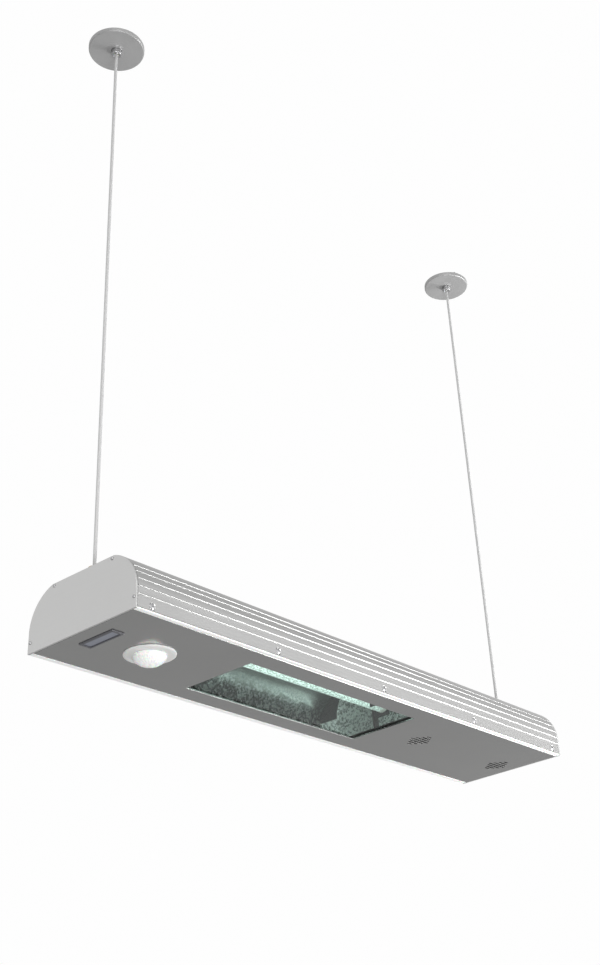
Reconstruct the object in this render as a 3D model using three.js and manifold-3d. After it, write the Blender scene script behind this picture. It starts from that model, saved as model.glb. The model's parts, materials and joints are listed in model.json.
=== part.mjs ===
// Suspended linear grow lamp: an extruded housing with a face panel, a tube behind glass, a small
// display, a presence sensor and two cooling fans, hung from two ceiling plates by two cables.
// Millimetres, +Z up, +X along the lamp. The origin is on the ceiling, midway between the cables.
import * as THREE from 'three';
import { mergeVertices } from 'three/addons/utils/BufferGeometryUtils.js';
import Module from 'manifold-3d';

const wasm = await Module();
wasm.setup();

// ---------- driving dimensions ----------
const GAP = 0.3; // clearance between neighbouring pieces

const LENGTH = 842; // over both end plates
const WIDTH = 180;
const HEIGHT = 74.4;
const DROP = 915.3; // ceiling down to the lamp's underside
const CABLE_INSET = 16.5; // cable axis to the lamp's end

const WALL = 2.2; // housing wall
const SIDE_STRAIGHT = 25; // height where the side wall starts to curve
const SHOULDER_R = 51;
const END_PLATE_T = 2.5;

const BEAD_COUNT = 5;
const BEAD_FIRST = 17.4; // first bead, measured up the side
const BEAD_PITCH = 9.5;
const BEAD_WIDTH = 1.8;
const BEAD_RISE = 0.7;

const EDGE_STRIP_W = 6.4; // strip under each side wall
const EDGE_STRIP_T = 1.8;
const RAIL_TOP = 17; // screw rail inside each side wall
const SHEET = 2; // face panel sheet
const FLANGE_TOP = 16;

const SIDE_SCREW_Z = 7.2;
const SIDE_SCREW_INSET = 24;
const SIDE_SCREW_PITCH = 199.4;
const SIDE_SCREW_COUNT = 5;
const SIDE_SCREW_HEAD_R = 3.9;
const SIDE_SCREW_R = 2;
const HEAD_RECESS = 0.4; // side screw heads sit this far below the wall's face
const SIDE_SCREW_LENGTH = 11.5;
const SIDE_HOLE_R = SIDE_SCREW_R + 0.35;
const SINK_R = 4.6; // countersink
const SINK_DEPTH = 2.6;

const PORT_R = 3; // screw port along the housing's top corners
const PORT_Y = 49;
const PORT_Z = 71.2;
const PORT_DEPTH = 14;
const RAIL_PORT_Y = 86.7;
const RAIL_PORT_Z = 13.3;
const END_SCREW = { headR: 2, headT: 1.1, r: 1, length: 12 };
const CEILING_SCREW = { headR: 3.6, headT: 1.9, r: 2, length: 20 };

const WINDOW = { x0: -208, x1: 110, halfY: 54.3 };
const GLASS = { x0: -218, x1: 120, halfY: 62, z0: 2.3, t: 3 };
const REFLECTOR = { x0: -192, x1: 108, halfY: 60, z0: 6.6, rise: 47, t: 1, lip: 8 };
const LEAF_NOTCH = { halfY: 15.5, z0: 18, z1: 51 }; // the tube leaves through the reflector's end leaf
const CHEEK = { x: 46.3, t: 2, z0: 11, archHalfY: 29.5, archRise: 40 }; // plate arching over the tube
const TUBE = { x0: -222, x1: 118, z: 38, r: 12 };
const HOLDER = { length: 24, halfY: 15, z0: 20, z1: 54, grip: 6, stemInset: 4, stemHalfY: 10,
  legY: 5, legT: 6 };
const DRIVER = { x0: 165, x1: 345, halfY: 30, z0: 42, z1: 70, earX: 13, earHalfY: 20 };
const BOARD = { x0: -372, x1: -242, halfY: 36, z: 46, t: 1.6, postR: 3, postInset: 6 };

const DISPLAY = { x: -390.2, sizeX: 18.5, sizeY: 57, proud: 1.4, neckX: 7.2, neckY: 26.2,
  glassX: 5.6, glassY: 24.6 }; // neck and glass are half sizes
const SENSOR = { x: -318, flangeR: 31, flangeT: 2.4, domeR: 19.8, domeTip: 14.8, neckR: 14, neckTop: 22 };
const VENTS_X = [191, 382];
const SLOT = { width: 3, pitch: 5.8, longest: 38.8, rows: 3 };
const FAN = { size: 40, depth: 10, boreR: 18.7, hubR: 8.5, bladeR: 17.9, blades: 7, chord: 8, pitch: 38 };

const CABLE_R = 2.1;
const BALL_R = 4.2;
const SEAT_IN = BALL_R + GAP;
const SEAT_OUT = SEAT_IN + 1.2;
const SOCKET_IN = SEAT_OUT + GAP;
const SOCKET_OUT = 7.4;
const SOCKET_NOSE = 6.2; // ball centre to the socket's lip
const MOUTH_DEG = 40; // half angle of a socket's mouth
const SEAT_FROM = -5; // the seat wraps the ball from this angle, below its equator, to the next
const SEAT_TO = 47;
const ANCHOR = { tail: -10, flangeR: 11, flangeT: 2.5 };
const TOP_BALL_Z = -8; // below the ceiling
const BOTTOM_BALL_Z = HEIGHT + 1.5; // above the lamp's underside

const CANOPY = { r: 40, height: 6.5, wall: 1.3, edge: 2 };
const PLATE = { r: 34, t: 2.2, screwY: 22, holeR: 2.4 };

// ---------- materials ----------
const look = (color, roughness, metalness, opacity = 1) =>
  new THREE.MeshStandardMaterial({ color, roughness, metalness, opacity, transparent: opacity < 1 });
const LOOKS = {
  silver: () => look('#c3c4c5', 0.35, 0.85),
  panel: () => look('#bfc0c1', 0.3, 0.9),
  steel: () => look('#d4d5d6', 0.3, 1),
  brass: () => look('#c9b27a', 0.35, 1),
  white: () => look('#f4f4f2', 0.4, 0),
  nylon: () => look('#ecebe4', 0.5, 0),
  black: () => look('#1d2022', 0.5, 0),
  board: () => look('#1f5a3c', 0.6, 0),
  cable: () => look('#b9babb', 0.6, 0),
  canopy: () => look('#8f9091', 0.4, 0.7),
  mirror: () => look('#dfe3e2', 0.12, 1),
  quartz: () => look('#d9f5ea', 0.1, 0, 0.8),
  glass: () => look('#cfe6dc', 0.05, 0, 0.35),
  lcd: () => look('#6f7c8e', 0.25, 0),
};

// ---------- solids ----------
const toSolid = (geometry) => {
  const bare = geometry.clone();
  bare.deleteAttribute('normal');
  bare.deleteAttribute('uv');
  const merged = mergeVertices(bare, 1e-4);
  return new wasm.Manifold(new wasm.Mesh({
    numProp: 3,
    vertProperties: new Float32Array(merged.attributes.position.array),
    triVerts: new Uint32Array(merged.index.array),
  }));
};

const toGeometry = (solid) => {
  const mesh = solid.getMesh();
  const geometry = new THREE.BufferGeometry();
  geometry.setAttribute('position', new THREE.BufferAttribute(new Float32Array(mesh.vertProperties), 3));
  geometry.setIndex(new THREE.BufferAttribute(new Uint32Array(mesh.triVerts), 1));
  geometry.computeVertexNormals();
  return geometry;
};

const join = (parts) => parts.map(toSolid).reduce((sum, part) => sum.add(part));
const cut = (solid, tools) => tools.map(toSolid).reduce((left, tool) => left.subtract(tool), solid);

const box = (x0, x1, y0, y1, z0, z1) =>
  new THREE.BoxGeometry(Math.abs(x1 - x0), Math.abs(y1 - y0), Math.abs(z1 - z0))
    .translate((x0 + x1) / 2, (y0 + y1) / 2, (z0 + z1) / 2);

// A cylinder or cone along Z, of radius r at z0 and rEnd at z1.
const rod = (r, z0, z1, sides = 24, rEnd = r) => {
  const [low, high] = z0 < z1 ? [r, rEnd] : [rEnd, r];
  return new THREE.CylinderGeometry(high, low, Math.abs(z1 - z0), sides)
    .rotateX(Math.PI / 2)
    .translate(0, 0, (z0 + z1) / 2);
};

// A profile of [radius, z] points turned about Z; the first and last lie on the axis or are the same.
const turned = (profile, sides = 24) => {
  const points = profile.map(([r, z]) => new THREE.Vector2(r, z));
  if (THREE.ShapeUtils.area(points) < 0) points.reverse(); // faces out when it runs counter-clockwise
  return new THREE.LatheGeometry(points, sides).rotateX(Math.PI / 2);
};
const ring = (profile, sides) => turned([...profile, profile[0]], sides);

// An outline of [y, z] points pushed along X.
const alongX = (outline, x0, x1) => {
  const shape = new THREE.Shape(outline.map(([y, z]) => new THREE.Vector2(y, z)));
  const toYZ = new THREE.Matrix4().set(0, 0, 1, x0, 1, 0, 0, 0, 0, 1, 0, 0, 0, 0, 0, 1);
  return new THREE.ExtrudeGeometry(shape, { depth: x1 - x0, bevelEnabled: false }).applyMatrix4(toYZ);
};

const arc = (cy, cz, ry, rz, from, to, steps) =>
  Array.from({ length: steps + 1 }, (_, i) => {
    const a = THREE.MathUtils.degToRad(from + ((to - from) * i) / steps);
    return [cy + ry * Math.cos(a), cz + rz * Math.sin(a)];
  });

const mirrored = (side) => side.map(([y, z]) => [-y, z]).reverse();

// ---------- scene graph ----------
const lamp = new THREE.Group();
lamp.position.z = -DROP;
const ceiling = new THREE.Group();
const object = new THREE.Group();
object.add(ceiling, lamp);

const place = (group, name, shape, material, x = 0, y = 0, z = 0) => {
  const geometry = shape.isBufferGeometry ? shape : toGeometry(shape);
  const mesh = new THREE.Mesh(geometry, material);
  mesh.name = name;
  mesh.position.set(x, y, z);
  group.add(mesh);
  return mesh;
};

const SIDES = [['near', -1], ['far', 1]];
const ENDS = [['left', -1], ['right', 1]];
const BODY_X = LENGTH / 2 - END_PLATE_T - GAP; // half length of the housing and panel
const CABLE_X = LENGTH / 2 - CABLE_INSET;
const PANEL_Y = WIDTH / 2 - EDGE_STRIP_W - GAP; // half width of the panel

// ---------- housing outline ----------
// The right-hand half (+Y) runs up the straight side, round the shoulder arc and onto the flat top.
const shoulderEnd = THREE.MathUtils.radToDeg(Math.asin((HEIGHT - SIDE_STRAIGHT) / SHOULDER_R));
const shoulderCentreY = WIDTH / 2 - SHOULDER_R;
const SHOULDER_STEPS = 12;

const sidePoint = (s, rise = 0) => {
  if (s <= SIDE_STRAIGHT) return [WIDTH / 2 + rise, s];
  const a = (s - SIDE_STRAIGHT) / SHOULDER_R;
  const r = SHOULDER_R + rise;
  return [shoulderCentreY + r * Math.cos(a), SIDE_STRAIGHT + r * Math.sin(a)];
};

const plainSide = (from, inset = 0) => [
  [WIDTH / 2 - inset, from],
  ...arc(shoulderCentreY, SIDE_STRAIGHT, SHOULDER_R - inset, SHOULDER_R - inset, 0,
    THREE.MathUtils.radToDeg(Math.asin((HEIGHT - inset - SIDE_STRAIGHT) / (SHOULDER_R - inset))),
    SHOULDER_STEPS),
];

const beadedSide = (from) => {
  const points = [[WIDTH / 2, from]];
  const arcLength = THREE.MathUtils.degToRad(shoulderEnd) * SHOULDER_R;
  const shoulder = Array.from({ length: SHOULDER_STEPS + 1 },
    (_, i) => SIDE_STRAIGHT + (arcLength * i) / SHOULDER_STEPS);
  const beads = Array.from({ length: BEAD_COUNT }, (_, i) => BEAD_FIRST + BEAD_PITCH * i);
  const stops = shoulder
    .filter((s) => beads.every((b) => Math.abs(s - b) > BEAD_WIDTH / 2 + 0.4))
    .map((s) => [s, 0]);
  for (const b of beads) {
    stops.push([b - BEAD_WIDTH / 2, 0], [b - BEAD_WIDTH / 4, BEAD_RISE]);
    stops.push([b + BEAD_WIDTH / 4, BEAD_RISE], [b + BEAD_WIDTH / 2, 0]);
  }
  stops.sort((a, b) => a[0] - b[0]);
  return [...points, ...stops.map(([s, rise]) => sidePoint(s, rise))];
};

const closed = (side) => [...side, ...mirrored(side)];

// ---------- housing and end plates ----------
const sideScrewX = Array.from({ length: SIDE_SCREW_COUNT },
  (_, i) => -LENGTH / 2 + SIDE_SCREW_INSET + SIDE_SCREW_PITCH * i);
const HOUSING_FOOT = EDGE_STRIP_T + GAP;
const RAIL_Y = WIDTH / 2 - EDGE_STRIP_W; // inner face of the screw rail
const TOP_INSIDE = HEIGHT - WALL - GAP; // highest that anything inside may reach
const CORNERS = [
  ['top_near', -PORT_Y, PORT_Z],
  ['top_far', PORT_Y, PORT_Z],
  ['low_near', -RAIL_PORT_Y, RAIL_PORT_Z],
  ['low_far', RAIL_PORT_Y, RAIL_PORT_Z],
];

const lengthwise = (r, y, z, x0, x1, sides = 12) =>
  rod(r, x0, x1, sides).rotateY(Math.PI / 2).translate(0, y, z);
const crosswise = (r, x, y0, y1, z, rEnd = r) =>
  rod(r, y0, y1, 12, rEnd).rotateX(-Math.PI / 2).translate(x, 0, z);

const sideScrewHole = (x, side) => {
  const outer = side * (WIDTH / 2 + 0.1);
  const bottom = side * (WIDTH / 2 - SINK_DEPTH);
  const inner = side * (RAIL_Y - 1);
  return [
    crosswise(SINK_R, x, outer, bottom, SIDE_SCREW_Z, SIDE_HOLE_R),
    crosswise(SIDE_HOLE_R, x, outer, inner, SIDE_SCREW_Z),
  ];
};

const buildHousing = () => {
  const inner = [[WIDTH / 2 - WALL, HOUSING_FOOT - 1], ...plainSide(0, WALL).slice(1)];
  const shell = toSolid(alongX(closed(beadedSide(HOUSING_FOOT)), -BODY_X, BODY_X))
    .subtract(toSolid(alongX(closed(inner), -BODY_X - 1, BODY_X + 1)));
  const rails = SIDES.map(([, s]) =>
    box(-BODY_X, BODY_X, s * RAIL_Y, s * (WIDTH / 2 - 1), HOUSING_FOOT, RAIL_TOP));
  const ports = SIDES.map(([, s]) => lengthwise(PORT_R, s * PORT_Y, PORT_Z, -BODY_X, BODY_X, 16));
  const whole = [...rails, ...ports].map(toSolid).reduce((sum, part) => sum.add(part), shell);
  const portHoles = ENDS.flatMap(([, e]) => CORNERS.map(([, y, z]) =>
    lengthwise(END_SCREW.r + GAP, y, z, e * (BODY_X + 1), e * (BODY_X - PORT_DEPTH))));
  const screwHoles = SIDES.flatMap(([, s]) => sideScrewX.flatMap((x) => sideScrewHole(x, s)));
  const anchorHoles = ENDS.map(([, e]) => rod(SOCKET_OUT + GAP, HEIGHT - 6, HEIGHT + 1, 32)
    .translate(e * CABLE_X, 0, 0));
  return cut(whole, [...portHoles, ...screwHoles, ...anchorHoles]);
};
place(lamp, 'housing', buildHousing(), LOOKS.silver());

for (const [end, e] of ENDS) {
  const middle = e * (LENGTH - END_PLATE_T) / 2;
  const plate = alongX(closed(plainSide(0)), middle - END_PLATE_T / 2, middle + END_PLATE_T / 2);
  const holes = CORNERS.map(([, y, z]) =>
    lengthwise(END_SCREW.r + GAP, y, z, middle - END_PLATE_T, middle + END_PLATE_T));
  place(lamp, `end_plate_${end}`, cut(toSolid(plate), holes), LOOKS.silver());
}

// ---------- screws ----------
// Each is drawn with its head's outer face at z = 0 and its tip below.
const panScrew = ({ headR, headT, r, length }) => turned([
  [0, -length], [r, -length], [r, 0], [headR, 0], [headR, headT * 0.45], [headR * 0.6, headT], [0, headT],
], 8);
const sunkScrew = (headR, r, length, sides = 12) => turned(
  [[0, -length], [r, -length], [r, -(headR - r)], [headR, 0], [0, 0]], sides);

for (const [end, e] of ENDS) {
  for (const [corner, y, z] of CORNERS) {
    const x = e * (LENGTH / 2 + GAP);
    place(lamp, `end_screw_${end}_${corner}`, panScrew(END_SCREW), LOOKS.steel(), x, y, z)
      .rotation.y = e * Math.PI / 2;
  }
}
for (const [side, s] of SIDES) {
  sideScrewX.forEach((x, i) => {
    const screw = sunkScrew(SIDE_SCREW_HEAD_R, SIDE_SCREW_R, SIDE_SCREW_LENGTH);
    const y = s * (WIDTH / 2 - HEAD_RECESS);
    place(lamp, `side_screw_${side}_${i + 1}`, screw, LOOKS.steel(), x, y, SIDE_SCREW_Z)
      .rotation.x = -s * Math.PI / 2;
  });
}

// ---------- face panel and edge strips ----------
for (const [side, s] of SIDES) {
  const strip = box(-BODY_X, BODY_X, s * WIDTH / 2, s * RAIL_Y, 0, EDGE_STRIP_T);
  place(lamp, `edge_strip_${side}`, strip, LOOKS.white());
}

const ventSlots = (x) => Array.from({ length: 2 * SLOT.rows + 1 }, (_, i) => {
  const row = i - SLOT.rows;
  const half = (SLOT.longest / 2) * (1 - Math.abs(row) / (SLOT.rows + 1));
  const y = row * SLOT.pitch;
  return box(x - half, x + half, y - SLOT.width / 2, y + SLOT.width / 2, -1, SHEET + 1);
});

const buildPanel = () => {
  const tray = join([
    box(-BODY_X, BODY_X, -PANEL_Y, PANEL_Y, 0, SHEET),
    ...SIDES.map(([, s]) =>
      box(-BODY_X, BODY_X, s * PANEL_Y, s * (PANEL_Y - SHEET), 0, FLANGE_TOP)),
  ]);
  const screwHoles = SIDES.flatMap(([, s]) => sideScrewX.map((x) =>
    crosswise(SIDE_HOLE_R, x, s * (PANEL_Y + 1), s * (PANEL_Y - SHEET - 1), SIDE_SCREW_Z)));
  return cut(tray, [
    box(WINDOW.x0, WINDOW.x1, -WINDOW.halfY, WINDOW.halfY, -1, SHEET + 1),
    box(DISPLAY.x - DISPLAY.neckX - GAP, DISPLAY.x + DISPLAY.neckX + GAP,
      -DISPLAY.neckY - GAP, DISPLAY.neckY + GAP, -1, SHEET + 1),
    rod(SENSOR.neckR + GAP, -1, SHEET + 1, 32).translate(SENSOR.x, 0, 0),
    ...VENTS_X.flatMap(ventSlots),
    ...screwHoles,
  ]);
};
place(lamp, 'face_panel', buildPanel(), LOOKS.panel());

// ---------- tube, reflector and glass ----------
place(lamp, 'window_glass',
  box(GLASS.x0, GLASS.x1, -GLASS.halfY, GLASS.halfY, GLASS.z0, GLASS.z0 + GLASS.t), LOOKS.glass());

const ELLIPSE_STEPS = 28;
const halfEllipse = (inset, from = 0, to = 180) => arc(0, REFLECTOR.z0,
  REFLECTOR.halfY - inset, REFLECTOR.rise - inset, from, to, ELLIPSE_STEPS);

const buildReflector = () => {
  const { x0, x1, halfY, z0, t, lip } = REFLECTOR;
  const foot = GLASS.z0 + GLASS.t + GAP;
  const outline = [
    [halfY + lip, foot], [halfY + lip, z0], ...halfEllipse(0), [-halfY - lip, z0], [-halfY - lip, foot],
    [-halfY + t, foot], ...halfEllipse(t, 180, 0), [halfY - t, foot],
  ];
  const leaf = cut(toSolid(alongX(halfEllipse(t / 2), x1 - t, x1)), [
    box(x1 - 2 * t, x1 + t, -LEAF_NOTCH.halfY, LEAF_NOTCH.halfY, LEAF_NOTCH.z0, LEAF_NOTCH.z1),
    box(x1 - 2 * t, x1 + t, HOLDER.legY - GAP, LEAF_NOTCH.halfY, 0, LEAF_NOTCH.z0 + 1), // past the leg
  ]);
  return toSolid(alongX(outline, x0, x1)).add(leaf);
};
place(lamp, 'reflector', buildReflector(), LOOKS.mirror());

const buildCheek = () => {
  const { x, t, z0, archHalfY, archRise } = CHEEK;
  const arch = [[archHalfY, 0], ...arc(0, z0, archHalfY, archRise, 0, 180, 16), [-archHalfY, 0]];
  const plate = alongX(halfEllipse(REFLECTOR.t + GAP), x, x + t);
  return cut(toSolid(plate), [
    box(x - 1, x + t + 1, -WIDTH / 2, WIDTH / 2, 0, z0),
    alongX(arch, x - 1, x + t + 1),
  ]);
};
place(lamp, 'reflector_cheek', buildCheek(), LOOKS.black());

const tubeShoulder = TUBE.r / 3; // the tube's ends are rounded with this radius
const tubeProfile = [
  [0, TUBE.x0],
  ...arc(TUBE.r - tubeShoulder, TUBE.x0 + tubeShoulder, tubeShoulder, tubeShoulder, -90, 0, 3),
  ...arc(TUBE.r - tubeShoulder, TUBE.x1 - tubeShoulder, tubeShoulder, tubeShoulder, 0, 90, 3),
  [0, TUBE.x1],
];
place(lamp, 'lamp_tube', turned(tubeProfile).rotateY(Math.PI / 2).translate(0, 0, TUBE.z), LOOKS.quartz());

for (const [end, e] of ENDS) {
  const tip = e < 0 ? TUBE.x0 : TUBE.x1;
  const inside = tip - e * HOLDER.grip;
  const outside = inside + e * HOLDER.length;
  const block = box(inside, outside, -HOLDER.halfY, HOLDER.halfY, HOLDER.z0, HOLDER.z1);
  const stem = box(inside + e * HOLDER.stemInset, outside - e * HOLDER.stemInset,
    -HOLDER.stemHalfY, HOLDER.stemHalfY, HOLDER.z1 - 1, TOP_INSIDE);
  const leg = box(inside, inside + e * HOLDER.legT, HOLDER.legY, HOLDER.halfY,
    GLASS.z0 + GLASS.t + GAP, HOLDER.z0 + 1);
  const bore = lengthwise(TUBE.r + GAP, 0, TUBE.z, inside - e, tip + e * GAP, 32);
  place(lamp, `tube_holder_${end}`, cut(join([block, stem, leg]), [bore]), LOOKS.black());
}

// ---------- driver and control board ----------
place(lamp, 'driver', join([
  box(DRIVER.x0, DRIVER.x1, -DRIVER.halfY, DRIVER.halfY, DRIVER.z0, DRIVER.z1),
  box(DRIVER.x0 - DRIVER.earX, DRIVER.x1 + DRIVER.earX, -DRIVER.earHalfY, DRIVER.earHalfY,
    DRIVER.z1 - 1, TOP_INSIDE),
]), LOOKS.silver());

// A part on the board: its corner and size in the board's plane, and how far it hangs below.
const onBoard = (x, y, sizeX, sizeY, drop) =>
  box(BOARD.x0 + x, BOARD.x0 + x + sizeX, y, y + sizeY, BOARD.z - drop, BOARD.z + 0.5);

const buildBoard = () => {
  const { x0, x1, halfY, z, t, postR, postInset } = BOARD;
  const posts = [x0 + postInset, x1 - postInset].flatMap((x) => SIDES.map(([, s]) =>
    rod(postR, z + t / 2, TOP_INSIDE, 12).translate(x, s * (halfY - postInset), 0)));
  return join([
    box(x0, x1, -halfY, halfY, z, z + t),
    ...posts,
    onBoard(14, -24, 46, 16, 10), // transformer
    onBoard(72, -26, 32, 28, 12), // relay
    onBoard(16, 6, 38, 20, 6), // terminal block
    rod(6, z - 14, z + 0.5, 16).translate(x0 + 82, 18, 0), // capacitor
  ]);
};
place(lamp, 'control_board', buildBoard(), LOOKS.board());

// ---------- display ----------
const frustum = (sizeX, sizeY, inset, z0, z1) => {
  const low = new THREE.Shape([[-1, -1], [1, -1], [1, 1], [-1, 1]]
    .map(([i, j]) => new THREE.Vector2(i * sizeX / 2, j * sizeY / 2)));
  const solid = new THREE.ExtrudeGeometry(low, { depth: z1 - z0, bevelEnabled: false });
  const p = solid.attributes.position;
  for (let i = 0; i < p.count; i += 1) {
    if (p.getZ(i) < (z1 - z0) / 2) {
      p.setX(i, p.getX(i) * (1 - (2 * inset) / sizeX));
      p.setY(i, p.getY(i) * (1 - (2 * inset) / sizeY));
    }
  }
  return solid.translate(0, 0, z0);
};
const { sizeX, sizeY, proud, neckX, neckY, glassX, glassY } = DISPLAY;
const NECK_TOP = 9; // the bezel's neck reaches this far up behind the panel
const bezel = cut(join([
  frustum(sizeX, sizeY, 1.2, -proud - GAP, -GAP),
  box(-neckX, neckX, -neckY, neckY, -GAP - 0.5, NECK_TOP),
]), [box(-glassX - GAP, glassX + GAP, -glassY - GAP, glassY + GAP, -proud - 1, NECK_TOP + 1)]);
place(lamp, 'display_bezel', bezel, LOOKS.black(), DISPLAY.x);
const display = box(-glassX, glassX, -glassY, glassY, -proud / 2, SHEET - GAP);
place(lamp, 'display_screen', display, LOOKS.lcd(), DISPLAY.x);

// ---------- presence sensor ----------
const { flangeR, flangeT, domeR, domeTip, neckR, neckTop } = SENSOR;
const domeSeat = -GAP - 1; // the lens sits in a shallow pocket in the flange
const sensorBody = turned([
  [0, domeSeat], [domeR + GAP, domeSeat], [domeR + GAP, -flangeT], [flangeR - 3, -flangeT + 0.2],
  [flangeR - 1, -flangeT + 0.7], [flangeR, -GAP - 0.6], [flangeR, -GAP],
  [neckR, -GAP], [neckR, neckTop], [0, neckTop],
], 32);
place(lamp, 'sensor_body', sensorBody, LOOKS.white(), SENSOR.x);
const dome = turned([
  [0, -domeTip], ...arc(0, -flangeT, domeR, domeTip - flangeT, 285, 360, 5),
  [domeR, domeSeat - GAP], [0, domeSeat - GAP],
]);
place(lamp, 'sensor_dome', dome, LOOKS.white(), SENSOR.x);

// ---------- fans ----------
const FAN_Z0 = SHEET + GAP;
const FAN_Z1 = FAN_Z0 + FAN.depth;
const FAN_STRUT_T = 1.5;
const ROTOR_Z0 = FAN_Z0 + 0.4; // the rotor clears the panel below and the struts above
const ROTOR_Z1 = FAN_Z1 - FAN_STRUT_T - GAP;
const buildFanFrame = () => {
  const half = FAN.size / 2;
  const frame = cut(toSolid(box(-half, half, -half, half, FAN_Z0, FAN_Z1)),
    [rod(FAN.boreR, FAN_Z0 - 1, FAN_Z1 + 1, 32)]);
  const low = FAN_Z1 - FAN_STRUT_T;
  const hub = rod(FAN.hubR, low, FAN_Z1);
  const struts = [0, 1, 2].map((i) => box(FAN.hubR - 1, FAN.boreR + 1, -1.2, 1.2, low, FAN_Z1)
    .rotateZ((i * 2 * Math.PI) / 3 + 0.5));
  return [hub, ...struts].map(toSolid).reduce((sum, part) => sum.add(part), frame);
};
const buildRotor = () => {
  const hub = rod(FAN.hubR, ROTOR_Z0, ROTOR_Z1);
  const blades = Array.from({ length: FAN.blades }, (_, i) =>
    new THREE.BoxGeometry(FAN.bladeR - FAN.hubR + 1, FAN.chord, 0.9)
      .rotateX(THREE.MathUtils.degToRad(FAN.pitch))
      .translate((FAN.bladeR + FAN.hubR - 1) / 2, 0, (ROTOR_Z0 + ROTOR_Z1) / 2)
      .rotateZ((i * 2 * Math.PI) / FAN.blades));
  const swept = rod(FAN.bladeR, ROTOR_Z0, ROTOR_Z1, 32);
  return join([hub, ...blades]).intersect(toSolid(swept));
};
ENDS.forEach(([end], i) => {
  place(lamp, `fan_frame_${end}`, buildFanFrame(), LOOKS.black(), VENTS_X[i]);
  place(lamp, `fan_rotor_${end}`, buildRotor(), LOOKS.black(), VENTS_X[i]);
});

// ---------- ball sockets, seats and balls ----------
// Heights are measured from the ball's centre towards the mouth, where the cable leaves.
const socketNose = (tail) => [
  [SOCKET_IN, tail], ...arc(0, 0, SOCKET_IN, SOCKET_IN, 0, 90 - MOUTH_DEG, 4),
  [SOCKET_NOSE * Math.tan(THREE.MathUtils.degToRad(MOUTH_DEG - 3)), SOCKET_NOSE],
  [SOCKET_OUT - 1, SOCKET_NOSE], [SOCKET_OUT, SOCKET_NOSE - 1],
];
const seat = () => ring([
  ...arc(0, 0, SEAT_OUT, SEAT_OUT, SEAT_TO, SEAT_FROM, 3),
  ...arc(0, 0, SEAT_IN, SEAT_IN, SEAT_FROM, SEAT_TO, 3),
], 16);
const flip = (geometry) => geometry.clone().rotateX(Math.PI);
const ball = () => new THREE.SphereGeometry(BALL_R, 12, 8);

for (const [end, e] of ENDS) {
  const x = e * CABLE_X;
  const flangeTop = TOP_INSIDE - BOTTOM_BALL_Z;
  const flangeFoot = flangeTop - ANCHOR.flangeT;
  const anchor = ring([
    ...socketNose(ANCHOR.tail), [SOCKET_OUT, flangeTop], [ANCHOR.flangeR, flangeTop],
    [ANCHOR.flangeR, flangeFoot], [SOCKET_OUT, flangeFoot], [SOCKET_OUT, ANCHOR.tail],
  ], 20);
  place(lamp, `anchor_${end}`, anchor, LOOKS.brass(), x, 0, BOTTOM_BALL_Z);
  place(lamp, `anchor_seat_${end}`, seat(), LOOKS.nylon(), x, 0, BOTTOM_BALL_Z);
  place(lamp, `bottom_ball_${end}`, ball(), LOOKS.steel(), x, 0, BOTTOM_BALL_Z);

  const plateTail = TOP_BALL_Z;
  const plateBottom = plateTail + PLATE.t;
  const plate = cut(toSolid(flip(ring([
    ...socketNose(plateTail), [SOCKET_OUT, plateBottom], [PLATE.r, plateBottom], [PLATE.r, plateTail],
  ], 24))), SIDES.map(([, s]) => rod(PLATE.holeR, -plateTail - PLATE.t - 1, -plateTail + 1, 12)
    .translate(0, s * PLATE.screwY, 0)));
  place(ceiling, `ceiling_plate_${end}`, plate, LOOKS.steel(), x, 0, TOP_BALL_Z);
  place(ceiling, `top_seat_${end}`, flip(seat()), LOOKS.nylon(), x, 0, TOP_BALL_Z);
  place(ceiling, `top_ball_${end}`, ball(), LOOKS.steel(), x, 0, TOP_BALL_Z);

  for (const [side, s] of SIDES) {
    const screw = flip(panScrew(CEILING_SCREW));
    const z = -PLATE.t - GAP;
    place(ceiling, `ceiling_screw_${end}_${side}`, screw, LOOKS.steel(), x, s * PLATE.screwY, z);
  }

  const { r, height, wall, edge } = CANOPY;
  const holeR = SOCKET_OUT + GAP;
  const cup = ring([
    [holeR, -height], ...arc(r - edge, -height + edge, edge, edge, 270, 360, 3),
    [r, 0], [r - wall, 0], [r - wall, -height + edge], [r - edge, -height + wall],
    [holeR, -height + wall],
  ], 40);
  place(ceiling, `canopy_${end}`, cup, LOOKS.canopy(), x);

  const cableTop = TOP_BALL_Z - BALL_R - GAP / 2;
  const cableBottom = -DROP + BOTTOM_BALL_Z + BALL_R + GAP / 2;
  place(ceiling, `cable_${end}`, rod(CABLE_R, cableBottom, cableTop, 12), LOOKS.cable(), x);
}

export default object;
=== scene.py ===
# %% [markdown]
# A lamp that hangs from two ceiling plates on two thin cables. Its working model is finished: every
# piece has its size, its place and its joints. This lesson gives those pieces their looks. Nothing
# that the working model fixes is moved; a piece that needs a finer surface is built again in the
# same place, and rides on the same moving body as the piece it stands for.
# %% Load the working model
import json
import math

import bmesh
import bpy
from mathutils import Matrix, Vector


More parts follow.
